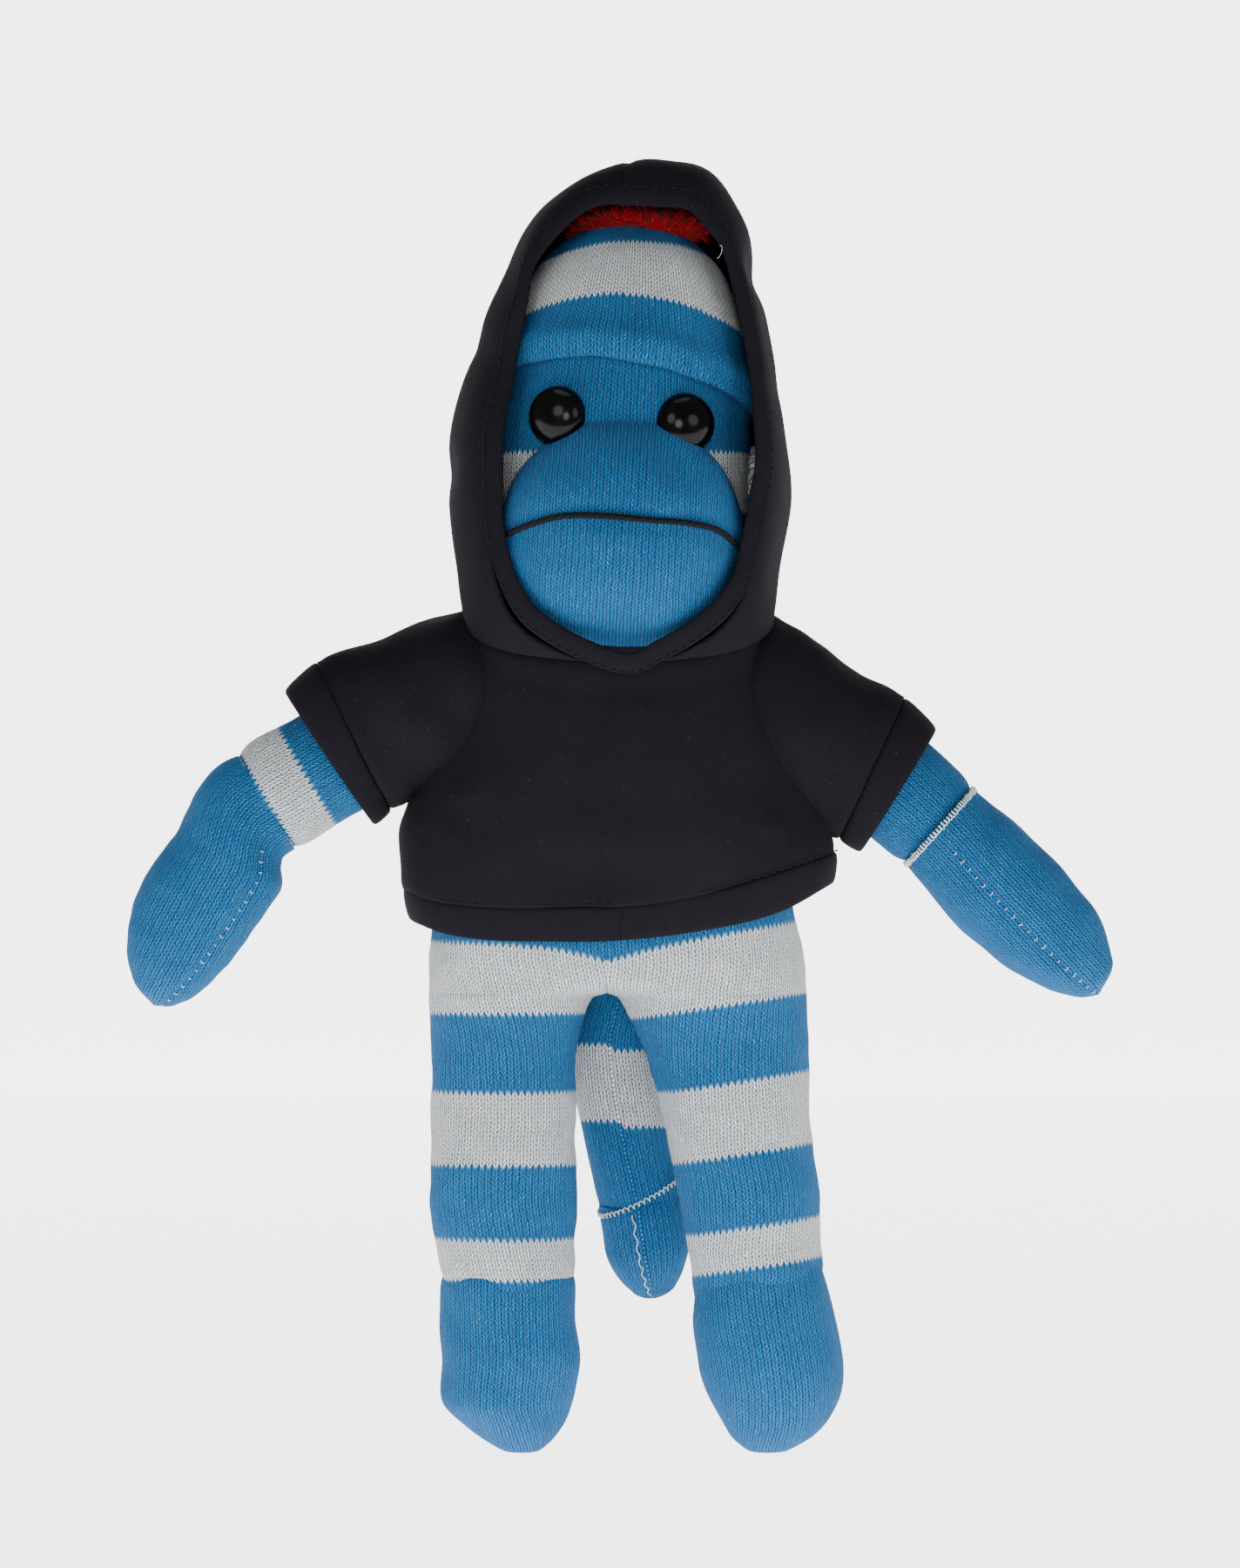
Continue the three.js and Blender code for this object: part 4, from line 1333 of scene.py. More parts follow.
@dataclass
class Tail(Dressing):
    """The tail, that hangs behind the legs, and its end."""

    frame: dict[str, Any]
    tip_length: float = 20.6
    columns: int = 56

    def path(self, at: np.ndarray) -> np.ndarray:
        """Gives points down the tail's middle line, from its root in the seat of the body.

        Args:
            at: how far down each point is, mm.

        Returns:
            The points, mm.
        """
        places = {j["name"]: np.array(j["pos_m"]) / MM for j in self.frame["joints"]}
        root, bend = places["tail_root"], places["tail_bend"]
        down = (bend - root) / np.linalg.norm(bend - root)
        length = float(np.linalg.norm(bend - root))
        line = root + down * at[:, None]
        line[:, 0] -= 1.4 * np.sin(np.clip(at / length, 0, 1) * math.pi) + 2.7 * step(at, 0, 14)
        return line

    def rings(self, down: np.ndarray, at: np.ndarray, radius: np.ndarray) -> np.ndarray:
        """Gives rings of points round the tail's middle line.

        Args:
            down: the tail's direction.
            at: how far down each ring is, mm.
            radius: the radius of each ring, mm.

        Returns:
            The grid, mm.
        """
        angle = np.linspace(0, 2 * math.pi, self.columns + 1)[None]
        across = np.cross(down, [0, 1, 0])
        across /= np.linalg.norm(across)
        through = np.cross(across, down)
        line = self.path(at)[:, None]
        around = across * np.cos(angle)[..., None] + through * np.sin(angle)[..., None]
        return line + around * radius[:, None, None]

    def build(self) -> None:
        """Builds the two pieces and the seam thread."""
        places = {j["name"]: np.array(j["pos_m"]) / MM for j in self.frame["joints"]}
        root, bend = places["tail_root"], places["tail_bend"]
        length = float(np.linalg.norm(bend - root))
        down = (bend - root) / length
        at = np.linspace(-4, length, 62)
        width = along(((-4, 7.6), (10, 8.4), (30, 8.5), (length - 3, 8.4), (length, 8.1)), at)
        points = softened(self.rings(down, at, width), 0.22, 11, 71)
        layout = self.layout(points)
        tail = self.wear(grid_piece("tail_soft", points, layout), self.finishes.tail, "striped_knit")
        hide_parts("tail_knit", "tail_filling")
        start, far = root - down * 2, root + down * 12
        tuple(start * MM)
        tuple(far * MM)
        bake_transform(tail)
        tip_at = length + self.tip_length * np.sin(np.linspace(0, 1, 44) * math.pi / 2) ** 1.1
        tip_width = along(
            (
                (length, 8.3), (length + 2.5, 8.7), (length + 9, 8.7), (length + 14, 7.5),
                (length + 18, 4.9), (length + 20, 2.4), (length + self.tip_length, 0),
            ),
            tip_at,
        )
        tip_points = softened(self.rings(down, tip_at, np.maximum(tip_width, 0.02)), 0.2, 9, 73)
        tip_points[-1] = tip_points[-1].mean(axis=0)
        tip = grid_piece("tail_tip_soft", tip_points, self.layout(tip_points))
        self.wear(tip, self.finishes.plain, "blue_knit")
        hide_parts("tail_tip_knit", "tail_tip_filling")
        tuple(bend * MM)
        tuple((bend + down * 8) * MM)
        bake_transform(tip)
        ring = tip_points[1]
        out = ring - ring.mean(axis=0)
        out /= np.linalg.norm(out, axis=1, keepdims=True)
        tilt = np.zeros_like(ring)
        tilt[:, 2] = 0.35 * (ring[:, 0] - ring[:, 0].mean()) + 1.4
        seam = thread_seam("tail overlock", ring + out * 0.05 + tilt, out, 52, 0.5, 0.13)
        column = round(self.columns * 0.72)
        line = tip_points[2:-10, column]
        away = outward(tip_points)[2:-10, column]
        stitches = thread_seam("tail edge", line - away * 0.05, away, 7, 0.25, 0.11)
        thread = self.wear(
            joined("tail_seam_thread_soft", [seam, stitches]), self.finishes.thread, "white_thread",
        )
        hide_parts("tail_seam_thread")
        tuple(bend * MM)
        tuple((bend + down * 8) * MM)
        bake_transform(thread)
        LOG.info("tail")

    def layout(self, points: np.ndarray) -> np.ndarray:
        """Gives the tail's stitches, whose rows follow its height.

        Args:
            points: a grid of points, mm.

        Returns:
            The stitches at each point.
        """
        across = np.broadcast_to(np.linspace(0, 39, points.shape[1]), points.shape[:2])
        step_at_seam = np.where(points[..., 0] > points[..., 0].mean(axis=1, keepdims=True), 1.2, 0.0)
        return np.stack([across, (points[..., 2] + step_at_seam) / COURSE], axis=-1)


# ---------------------------------------------------------------- head


@dataclass
class Head(Dressing):
    """The head with its muzzle, eyes, ears, cap and pompom."""

    neck: float = 165.0
    roll: float = 3.3  # degrees, the top of the head leans to the toy's left
    columns: int = 96
    muzzle_middle: tuple[float, float, float] = (-0.9, -16.3, 15.5)
    muzzle_half: tuple[float, float, float] = (23.8, 18.5, 22.9)
    eye_radius: float = 6.0
    eye_dome: float = 4.2
    eye_height: float = 37.2  # above the neck
    mouth_radius: float = 0.62
    strand_count: int = 1500  # cut ends tried on the pompom

    def leaning(self, points: np.ndarray) -> np.ndarray:
        """Puts points of the head's own frame in place.

        Args:
            points: points above the middle of the neck, mm.

        Returns:
            The points in the frame of the toy, mm.
        """
        c, s = math.cos(math.radians(self.roll)), math.sin(math.radians(self.roll))
        x, y, z = points[..., 0], points[..., 1], points[..., 2]
        return np.stack([x * c + z * s, y, self.neck - x * s + z * c], axis=-1)

    def skull(self, heights: np.ndarray, grow: float = 0.0, lift: float = 0.0) -> np.ndarray:
        """Gives rows of the head at heights above the neck, grown by grow mm, each row higher in front
        by lift.

        Args:
            heights: the height of each row, or of each point, above the neck, mm.
            grow: how far the rows stand off the head, mm.
            lift: how much higher a row is in front, mm for each 20 mm of depth.

        Returns:
            The grid, mm.
        """
        half_width = (
            (-6, 9), (0, 14.5), (6, 20), (14, 24), (25, 25.8), (37, 25.2), (49, 23.4), (60, 20.2),
            (68, 16), (73, 10.5), (75.6, 5), (76.6, 0),
        )
        half_depth = (
            (-6, 8), (0, 14), (6, 18), (14, 21), (25, 23), (37, 23), (49, 21.7), (60, 19.2), (68, 15.4),
            (73, 10), (75.6, 4.6), (76.6, 0),
        )
        shift = ((-6, 0), (6, -0.7), (14, -1.5), (37, -2), (76.6, -2))
        back = ((-6, 3.5), (6, -0.5), (25, -1.5), (49, 0), (76.6, 1))
        angle = np.linspace(0, 2 * math.pi, self.columns + 1)[None]
        heights = heights[:, None] if heights.ndim == 1 else heights
        a, b = along(half_width, heights), along(half_depth, heights)
        x = along(shift, heights) + (a + grow) * np.sin(angle)
        y = along(back, heights) + MIDDLE_Y + (b + grow) * np.cos(angle)
        z = heights - lift * (y / 20)
        return np.stack(np.broadcast_arrays(x, y, z), axis=-1)

    def build(self) -> None:
        """Builds every piece of the head."""
        heights = np.linspace(-6, 66, 90)
        points = self.skull(heights)
        points = softened(self.leaning(points), 0.3, 15, 81)
        across = np.broadcast_to(np.linspace(0, 116, self.columns + 1), points.shape[:2])
        layout = np.stack([across, points[..., 2] / COURSE], axis=-1)
        head = self.wear(grid_piece("head_soft", points, layout), self.finishes.head, "striped_knit")
        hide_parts("head_knit", "head_filling", "right_eye_washer", "left_eye_washer")
        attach(head, "head")
        LOG.info("head")
        self.cap()
        self.muzzle()
        for side in Side:
            self.eye(side)
            self.ear(side)
        self.pompom()
        self.loose_thread()

    def loose_thread(self) -> None:
        """Builds the loose white thread that hangs at the left of the cap."""
        t = np.linspace(0, 1, 16)[:, None]
        curl = np.hstack([0.6 * np.sin(t * 4.2), 0 * t, -2.2 * t + 0.5 * np.sin(t * 6)])
        piece = tube("loose_thread_soft", np.array([19.0, -14.6, 236.4]) + curl, 0.05, 1.2, 5)
        self.wear(piece, self.finishes.thread, "white_thread")
        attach(piece, "head")

    def cap(self) -> None:
        """Builds the knitted cap with its turned-up edge."""
        heights = np.concatenate([np.linspace(76.6, 74.4, 8), np.linspace(73.6, 46.4, 50)])
        x = 22 * np.sin(np.linspace(0, 2 * math.pi, self.columns + 1))[None]
        drop = 0.0061 * x**2 + 0.1 * x
        tilted = heights[:, None] - drop * step(heights, 76, 60)[:, None]
        outer = self.skull(tilted, 1.2, 3.6)
        swell = 1.5 * np.exp(-(((heights - 48.6) / 3.2) ** 2))
        outer = outer + outward(outer) * swell[:, None, None]
        outer[..., 2] += 0.6
        edge = []
        for turn in np.linspace(0.25, math.pi * 1.2, 9):
            grow = 0.55 + 1.35 * math.cos(turn)
            edge.append(self.skull(45.9 - 1.5 * math.sin(turn) - drop, grow, 3.6)[0])
        inner = self.skull(np.linspace(47.5, 54, 6)[:, None] - drop, 0.15, 3.6)
        points = np.concatenate([outer, np.array(edge) + [0, 0, 0.4], inner])
        points[0] = points[0].mean(axis=0)
        points = self.leaning(points)
        points = points + outward(points) * (ripple(points, 13, 83) * 0.22)[..., None]
        level = (
            np.concatenate([heights, np.linspace(45.6, 43.0, 9), np.linspace(42.8, 36.5, 6)]) + self.neck
            + 4.2
        )
        across = np.broadcast_to(np.linspace(0, 112, self.columns + 1), points.shape[:2])
        level = level[:, None] + 0.0017 * x**2 - 0.1 * x
        layout = np.stack(np.broadcast_arrays(across, level / COURSE), axis=-1)
        cap = self.wear(grid_piece("hat_soft", points, layout), self.finishes.hat, "striped_knit")
        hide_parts("hat_knit")
        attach(cap, "head")
        LOG.info("cap")

    def mouth_height(self, x: np.ndarray) -> np.ndarray:
        """Gives how high the mouth lies above the muzzle's middle, across the muzzle.

        Args:
            x: places across the toy, mm.

        Returns:
            The heights, mm.
        """
        return along(
            (
                (-24, -2.9), (-21.5, -1.6), (-16, 0.8), (-12, 2.0), (-3.6, 2.6), (6, 2.3), (13.4, 2.1),
                (18.9, 1.0), (22.9, -1.9),
            ),
            x,
        )

    def muzzle(self) -> None:
        """Builds the stuffed muzzle and the yarn of the mouth."""
        a, b, c = self.muzzle_half
        u, v = np.meshgrid(np.linspace(-1, 1, 101), np.linspace(-1, 1, 101))
        wide, high = u * np.sqrt(1 - v * v / 2), v * np.sqrt(1 - u * u / 2)
        reach = np.hypot(wide, high)
        tilt = reach * math.pi * 0.62
        ratio = np.sin(tilt) / np.maximum(reach, 1e-6)
        squareness = (
            1
            + np.where(high < 0, 0.03, -0.015) * np.sin(
                2 * np.arctan2(high, wide)
            ) ** 2 * step(reach, 0.1, 0.8)
        )
        x = a * ratio * wide * squareness
        z = c * ratio * high * squareness * np.where(high < 0, 1.06, 1.0)
        y = -b * np.cos(tilt)
        mouth = self.mouth_height(x)
        crease = np.exp(-(((z - mouth) / 2.6) ** 2)) * step(-y, 2, 9)
        y = y + 1.0 * crease
        points = np.stack([x, y, z], axis=-1) + np.array(self.muzzle_middle)
        points = softened(self.leaning(points), 0.28, 11, 91)
        across = a * np.arcsin(np.clip(x / a, -0.995, 0.995)) / WALE
        up = (c * np.arcsin(np.clip(z / c, -0.995, 0.995)) + 60) / COURSE
        layout = np.stack([across, up], axis=-1)
        muzzle = self.wear(grid_piece("muzzle_soft", points, layout), self.finishes.plain, "blue_knit")
        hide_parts("muzzle_knit", "muzzle_filling")
        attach(muzzle, "head")
        mx = a * np.sin(np.linspace(-1.36, 1.36, 70))
        mz = self.mouth_height(mx)
        deep = np.sqrt(np.clip(1 - (mx / (a * 1.001)) ** 2 - (mz / c) ** 2, 0.0, 1))
        line = np.stack([mx * 1.012, -b * deep + 0.5, mz], axis=1) + np.array(self.muzzle_middle)
        yarn = tube("mouth_soft", self.leaning(line), self.mouth_radius, 0.5, 10)
        yarn = self.wear(yarn, self.finishes.mouth, "black_yarn")
        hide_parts("mouth_yarn")
        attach(yarn, "head")
        LOG.info("muzzle and mouth")

    def eye(self, side: Side) -> None:
        """Builds one domed eye on its post.

        Args:
            side: which eye.
        """
        word = side.word()
        across, height = side.sign() * 12.4 - 2.25, self.eye_height
        angle_out = across / 26
        facing = np.array([math.sin(angle_out) * 0.9, -math.cos(angle_out), 0.08])
        facing /= np.linalg.norm(facing)
        base = self.leaning(np.array([across, -20.9 + abs(across + 2) * 0.1, height]))
        turn = np.linspace(0, math.pi / 2, 20)
        profile = [(0.02, 4.3)]
        profile += [(self.eye_radius * math.sin(t), self.eye_dome * math.cos(t) + 0.1) for t in turn[1:]]
        profile += [(5.95, -0.5), (5.5, -1.0), (1.6, -1.2), (1.5, -3.0), (1.5, -6.2), (0.02, -6.6)]
        right = np.cross(facing, [0, 0, 1])
        right /= np.linalg.norm(right)
        up = np.cross(right, facing)
        angle = np.linspace(0, 2 * math.pi, 49)[None]
        r = np.array([p[0] for p in profile])[:, None]
        h = np.array([p[1] for p in profile])[:, None]
        points = base + right * (r * np.cos(angle))[..., None] + up * (r * np.sin(angle))[..., None]
        points = points + facing * (h + 0 * angle)[..., None]
        layout = np.stack(np.broadcast_arrays(angle, h + 0 * angle), axis=-1)
        piece = grid_piece(f"{word}_eye_soft", points, layout, 0.05)
        self.wear(piece, self.finishes.eye, "eye_plastic")
        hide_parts(f"{word}_eye")
        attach(piece, "head")

    def ear(self, side: Side) -> None:
        """Builds one flat stuffed ear.

        Args:
            side: which ear.
        """
        word = side.word()
        low, high = (np.array(v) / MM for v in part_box(f"{word}_ear"))
        middle = (low + high) / 2
        tilt = np.linspace(0.02, math.pi - 0.02, 36)[:, None]
        angle = np.linspace(0, 2 * math.pi, 49)[None]
        y = 8.0 * np.sin(tilt) * np.cos(angle)
        x = 3.0 * np.sin(tilt) * np.sin(angle) - side.sign() * 0.8
        z = 9.5 * np.cos(tilt) + 0 * angle
        points = np.stack(np.broadcast_arrays(x, y, z), axis=-1) + middle
        points = softened(points, 0.25, 8, 95)
        layout = np.stack([points[..., 1] / WALE, points[..., 2] / COURSE], axis=-1)
        piece = self.wear(
            grid_piece(f"{word}_ear_soft", points, layout, 0.2), self.finishes.ear, "striped_knit",
        )
        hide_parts(f"{word}_ear")
        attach(piece, "head")
        LOG.info("%s ear and eye", word)

    def pompom(self) -> None:
        """Builds the pompom, pressed flat under the hood, with the cut ends of its yarn."""
        low, high = (np.array(v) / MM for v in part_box("hat_pompom"))
        middle = (low + high) / 2 + [0.4, -6.5, -0.4]
        half = np.array([13.6, 9.5, 4.6])
        tilt = np.linspace(0.02, math.pi - 0.02, 60)[:, None]
        angle = np.linspace(0, 2 * math.pi, 97)[None]
        unit = np.stack(
            np.broadcast_arrays(
                np.sin(tilt) * np.cos(angle), np.sin(tilt) * np.sin(angle), np.cos(tilt) + 0 * angle,
            ),
            axis=-1,
        )
        points = middle + unit * half
        points = (
            points + unit * (ripple(points, 4.5, 101) * 0.6 + ripple(points, 1.8, 102) * 0.28)[..., None]
        )
        layout = np.zeros((*points.shape[:2], 2))
        core = grid_piece("pompom core", points, layout, 0.15)
        chance = np.random.default_rng(7)
        strands = []
        for _ in range(self.strand_count):
            direction = chance.normal(size=3)
            direction /= np.linalg.norm(direction)
            if direction[2] < -0.4:
                continue
            base = middle + direction * half * 0.98
            lean = direction * [1, 1, 1.3] + chance.normal(size=3) * 0.42
            lean /= np.linalg.norm(lean)
            side_way = np.cross(lean, chance.normal(size=3))
            side_way /= np.linalg.norm(side_way)
            bend = chance.normal(size=3) * 0.35
            reach = chance.uniform(0.9, 2.2)
            width = chance.uniform(0.1, 0.19)
            for k in range(3):
                t0, t1 = k / 3, (k + 1) / 3
                p0 = base + lean * reach * t0 + bend * t0 * t0
                p1 = base + lean * reach * t1 + bend * t1 * t1
                w0, w1 = width * (1 - 0.6 * t0), width * (1 - 0.6 * t1)
                strands.append(
                    (
                        [p0 - side_way * w0, p0 + side_way * w0, p1 + side_way * w1, p1 - side_way * w1],
                        t0, t1,
                    )
                )
        mesh = bpy.data.meshes.new("pompom ends")
        corners = np.array([c for s in strands for c in s[0]])
        faces = np.arange(len(corners)).reshape(-1, 4)
        mesh.from_pydata((corners * MM).tolist(), [], faces.tolist())
        heights = np.array([[s[1], s[1], s[2], s[2]] for s in strands]).ravel()
        flat = np.stack([np.zeros_like(heights), 0.35 + 0.65 * heights], axis=1)
        mesh.uv_layers.new(name="stitches").data.foreach_set("uv", flat.astype(np.float32).ravel())
        ends = bpy.data.objects.new("pompom ends", mesh)
        bpy.context.scene.collection.objects.link(ends)
        piece = self.wear(joined("pompom_soft", [core, ends]), self.finishes.pile, "red_yarn")
        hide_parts("hat_pompom")
        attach(piece, "head")
        LOG.info("pompom")


# ---------------------------------------------------------------- sweatshirt


@dataclass
class Sweatshirt(Dressing):
    """The sweatshirt: body, waist hem, sleeves with their hems, and the hood."""

    hood: "Hood | None" = field(default=None, init=False)
    neckline: float = 166.2  # its height over the middle plane
    neck_slope: float = 0.36  # how steeply the neckline falls to the front
    cloth: float = 1.5  # thickness
    power: float = 0.86  # of the body's rounded outline
    gauge: float = 0.42  # width of a column of the cloth's own fine stitches, mm

    def across(self, height: np.ndarray, angle: np.ndarray) -> tuple[np.ndarray, np.ndarray]:
        """Gives X and Y of the body at a height and an angle from the front, positive to the toy's
        left.

        Args:
            height: the heights, mm.
            angle: the angles, in radians.

        Returns:
            X and Y, mm.
        """
        right = (
            (100, 42.4), (107, 43.3), (114, 43.4), (121, 42.8), (129, 40.5), (138, 37.4), (147, 34.6),
            (156, 32.6), (165, 31.4),
        )
        left = (
            (100, 41.6), (107, 41.8), (114, 41.6), (121, 40.2), (129, 38.0), (138, 35.4), (147, 32.6),
            (156, 30.4), (165, 29.6),
        )
        front = ((100, 24.5), (112, 25.6), (128, 26.4), (145, 26.2), (156, 25.2), (165, 24.2))
        back = ((100, 24.6), (112, 25.4), (128, 25.8), (145, 26.6), (156, 27.6), (165, 28.2))
        sine, cosine = np.sin(angle), np.cos(angle)
        wide = np.where(sine < 0, along(right, height), along(left, height))
        deep = np.where(cosine > 0, along(front, height), along(back, height))
        x = np.sign(sine) * np.abs(sine) ** self.power * wide
        y = MIDDLE_Y - np.sign(cosine) * np.abs(cosine) ** self.power * deep
        return x, y

    def cloth_layout(self, points: np.ndarray, up: np.ndarray) -> np.ndarray:
        """Gives the fine stitches of the cloth, across each row of a grid and up it by these lengths in
        mm.

        Args:
            points: a grid of points, mm.
            up: how far up each point or row is, mm.

        Returns:
            The stitches at each point.
        """
        lengths = ring_lengths(points)
        return np.stack([lengths, np.broadcast_to(up, lengths.shape)], axis=-1) / self.gauge

    def hem_top(self, x: np.ndarray) -> np.ndarray:
        """Gives the height of the seam above the waist hem, which climbs to the toy's left.

        Args:
            x: places across the toy, mm.

        Returns:
            The heights, mm.
        """
        return along(
            (
                (-44, 111.2), (-38, 108.8), (-30, 107.6), (-5, 107.3), (13.5, 109.3), (28, 113.2),
                (44, 118.6),
            ),
            x,
        )

    def hem_bottom(self, x: np.ndarray) -> np.ndarray:
        """Gives the height of the lower edge of the waist hem.

        Args:
            x: places across the toy, mm.

        Returns:
            The heights, mm.
        """
        return along(
            (
                (-44, 105.0), (-40, 103.2), (-34, 101.6), (-19, 100.5), (-2, 100.6), (15, 102.4),
                (32, 106.4), (44, 112.8),
            ),
            x,
        )

    def folds(self, points: np.ndarray) -> np.ndarray:
        """Gives how far the cloth of the body stands out in its folds, mm.

        Args:
            points: a grid of points, mm.

        Returns:
            A distance for each point, mm.
        """
        x, z = points[..., 0], points[..., 2]
        soft = ripple(points * [1, 1, 0.55], 34, 111) * 0.5 + ripple(points * [0.6, 1, 1], 15, 112) * 0.2
        drag = 0.0
        for sign, corner in ((-1, (-37.5, 128.0)), (1, (36.5, 122.0))):
            dx, dz = (corner[0] - x) * sign, z - corner[1]
            bearing = np.arctan2(dz, dx)
            reach = np.hypot(dx, dz)
            drag = (
                drag
                + np.exp(-((reach / 17) ** 2)) * np.sin(bearing * 5.0 + 0.7) * 0.4 * step(reach, 2, 9)
            )
        under_chin = (
            np.exp(-(((z - 149.5 - 0.006 * x**2) / 2.6) ** 2)) * np.exp(-((x / 17) ** 2)) * -0.45
        )
        sag = np.exp(-(((z - 121 + 0.006 * x**2) / 5) ** 2)) * np.exp(-(((x + 8) / 24) ** 2)) * 0.55
        return soft + drag + under_chin + sag

    def panel(self, name: str, first: float, last: float) -> Piece:
        """Builds the front or the back of the body between two angles.

        Args:
            name: the piece's name.
            first: the angle where it starts, in radians.
            last: the angle where it ends.

        Returns:
            The panel.
        """
        angle = np.linspace(first, last, 110)[None]
        share = np.linspace(0, 1, 96)[:, None]
        level = 107 + 58 * share
        x, y = self.across(level + 0 * angle, angle + 0 * share)
        low = self.hem_top(x)
        high = self.neckline + self.neck_slope * (y - MIDDLE_Y)
        z = low + (high - low) * share
        points = np.stack([x, y, z], axis=-1)
        tuck = 0.25 * np.exp(-(((z - low) / 0.8) ** 2)) + 1.3 * np.exp(-(((high - z) / 1.3) ** 2))
        normal = np.stack([x / 40, (y - MIDDLE_Y) / 26, 0 * x], axis=-1)
        normal /= np.linalg.norm(normal, axis=-1, keepdims=True)
        shift = self.folds(points) * step(z - low, 0, 6) * step(high - z, 0, 5) - tuck
        points = points + normal * shift[..., None]
        layout = self.cloth_layout(points, points[..., 2] / 0.8)
        piece = self.wear(grid_piece(name, points, layout), self.finishes.fleece, "fleece")
        thickened(piece, self.cloth)
        return piece

    def build(self) -> None:
        """Builds the body, the hem, the sleeves and the hood."""
        front = self.panel("sweatshirt_front_soft", -math.pi / 2, math.pi / 2)
        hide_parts("sweatshirt_front")
        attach(front, "torso")
        back = self.panel("sweatshirt_back_soft", math.pi / 2, 1.5 * math.pi)
        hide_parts("sweatshirt_back")
        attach(back, "torso")
        LOG.info("sweatshirt front and back")
        self.waist_hem()
        self.neck_seam()
        for side in Side:
            self.sleeve(side)
        self.hood = Hood(self.finishes, self)
        self.hood.build()

    def dress(self) -> None:
        """Dresses the body, the sleeves and the hood."""
        super().dress()
        self.hood.dress()

    def waist_hem(self) -> None:
        """Builds the folded hem at the waist."""
        angle = np.linspace(0, 2 * math.pi, 241)[None]
        section = np.array(
            [
                (-1.4, 0.02), (-0.5, 0.0), (-0.05, 0.04), (0.2, 0.2), (0.3, 0.5), (0.25, 0.78),
                (0.05, 0.93), (-0.35, 1.0), (-0.8, 1.0), (-1.4, 0.93), (-1.7, 0.75), (-1.7, 0.3),
                (-1.5, 0.08),
            ]
        )
        out, share = section[:, :1], section[:, 1:]
        level = 107 - 6 * share
        x, y = self.across(level + 0 * angle, angle + 0 * share)
        top, bottom = self.hem_top(x), self.hem_bottom(x)
        z = top + (bottom - top) * share + 0.25
        normal = np.stack([x / 40, (y - MIDDLE_Y) / 26, 0 * x], axis=-1)
        normal /= np.linalg.norm(normal, axis=-1, keepdims=True)
        points = np.stack([x, y, z], axis=-1)
        wave = ripple(points * [1, 1, 0.1], 26, 118) * 0.5
        tucked = -1.6 * share * step(angle, 0, 0.01)
        points = points + normal * (out + wave + 0.35 * tucked)[..., None]
        layout = self.cloth_layout(points, points[..., 2] / 0.8)
        piece = smoothed(
            self.wear(
                grid_piece("sweatshirt_waist_hem_soft", points, layout), self.finishes.fleece, "fleece",
            )
        )
        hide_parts("sweatshirt_waist_hem")
        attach(piece, "torso")
        self.stitching("waist_stitches", points[1] + normal[1] * 0.55 + [0, 0, 0.3], "torso")
        LOG.info("waist hem")

    def stitching(self, name: str, path: np.ndarray, body: str, each: float = 1.9) -> Piece:
        """Builds a row of black stitches along a line of points and lets it ride on a body.

        Args:
            name: the piece's name.
            path: the points of the line, mm.
            body: the body it rides on, or nothing.
            each: the length of a stitch and its gap, mm.

        Returns:
            The row of stitches.
        """
        lengths = path_lengths(path)
        count = int(lengths[-1] / each)
        pieces = []
        for i in range(count):
            at = np.linspace(i * each, i * each + each * 0.72, 5)
            line = read_path(path, lengths, at)
            pieces.append(tube("stitch", line, 0.15, 0.8, 5))
        piece = self.wear(joined(name, pieces), self.finishes.sewing, "fleece")
        if body:
            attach(piece, body)
        return piece

    def neck_seam(self) -> None:
        """Builds the corded seam where the hood is sewn to the body."""
        angle = np.linspace(0, 2 * math.pi, 160, endpoint=False)
        x, y = self.across(np.full_like(angle, 165.0), angle)
        z = self.neckline + self.neck_slope * (y - MIDDLE_Y) + 0.2
        path = np.stack([x * 0.97, MIDDLE_Y + (y - MIDDLE_Y) * 0.97, z], axis=1)
        piece = tube("neck_seam_soft", path, 1.0, 0.6, 10, True)
        self.wear(piece, self.finishes.fleece, "fleece")
        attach(piece, "torso")

    def sleeve(self, side: Side) -> None:
        """Builds a raglan sleeve and its hem.

        Args:
            side: which sleeve.
        """
        word = side.word()
        if side is Side.RIGHT:
            top = (
                (-20, 164.5), (-29.5, 165.8), (-36, 164.6), (-43, 161.8), (-50.5, 159.0), (-60.0, 155.6),
            )
            low = (
                (-22, 131), (-33, 130.2), (-39.5, 129.6), (-41.6, 128.4), (-43.0, 127.4), (-45.2, 126.2),
            )
            end = ((-66.4, 149.6), (-48.7, 123.3))
        else:
            top = (
                (18, 163.0), (27.0, 164.6), (32.5, 162.6), (38.5, 159.0), (45.0, 154.4), (55.6, 148.6),
            )
            low = ((22, 124.6), (32, 123.8), (37.5, 123.0), (39.6, 122.0), (41.0, 121.4), (42.6, 120.6))
            end = ((62.0, 142.2), (47.0, 118.0))
        rows, columns = 64, 97
        place = np.linspace(0, 1, rows)
        crest, under = self.drawn(top, place), self.drawn(low, place)
        depth = along(((0, 15.5), (0.3, 17.5), (0.6, 16.2), (0.85, 14.6), (1, 14.2)), place)
        points = self.sleeve_grid(crest, under, depth, columns)
        normal = outward(points)
        shift = (
            ripple(points * [1, 0.7, 1], 16, 121 + side.sign()) * 0.45 + ripple(points, 7, 123) * 0.12
        )
        x, z = points[..., 0], points[..., 2]
        pit = np.array(low[2])
        bearing = np.arctan2(z - pit[1], (x - pit[0]) * side.sign())
        reach = np.hypot(x - pit[0], z - pit[1])
        shift = (
            shift + np.exp(-((reach / 20) ** 2)) * np.sin(bearing * 4.2 + 0.4) * 0.5 * step(reach, 2, 9)
        )
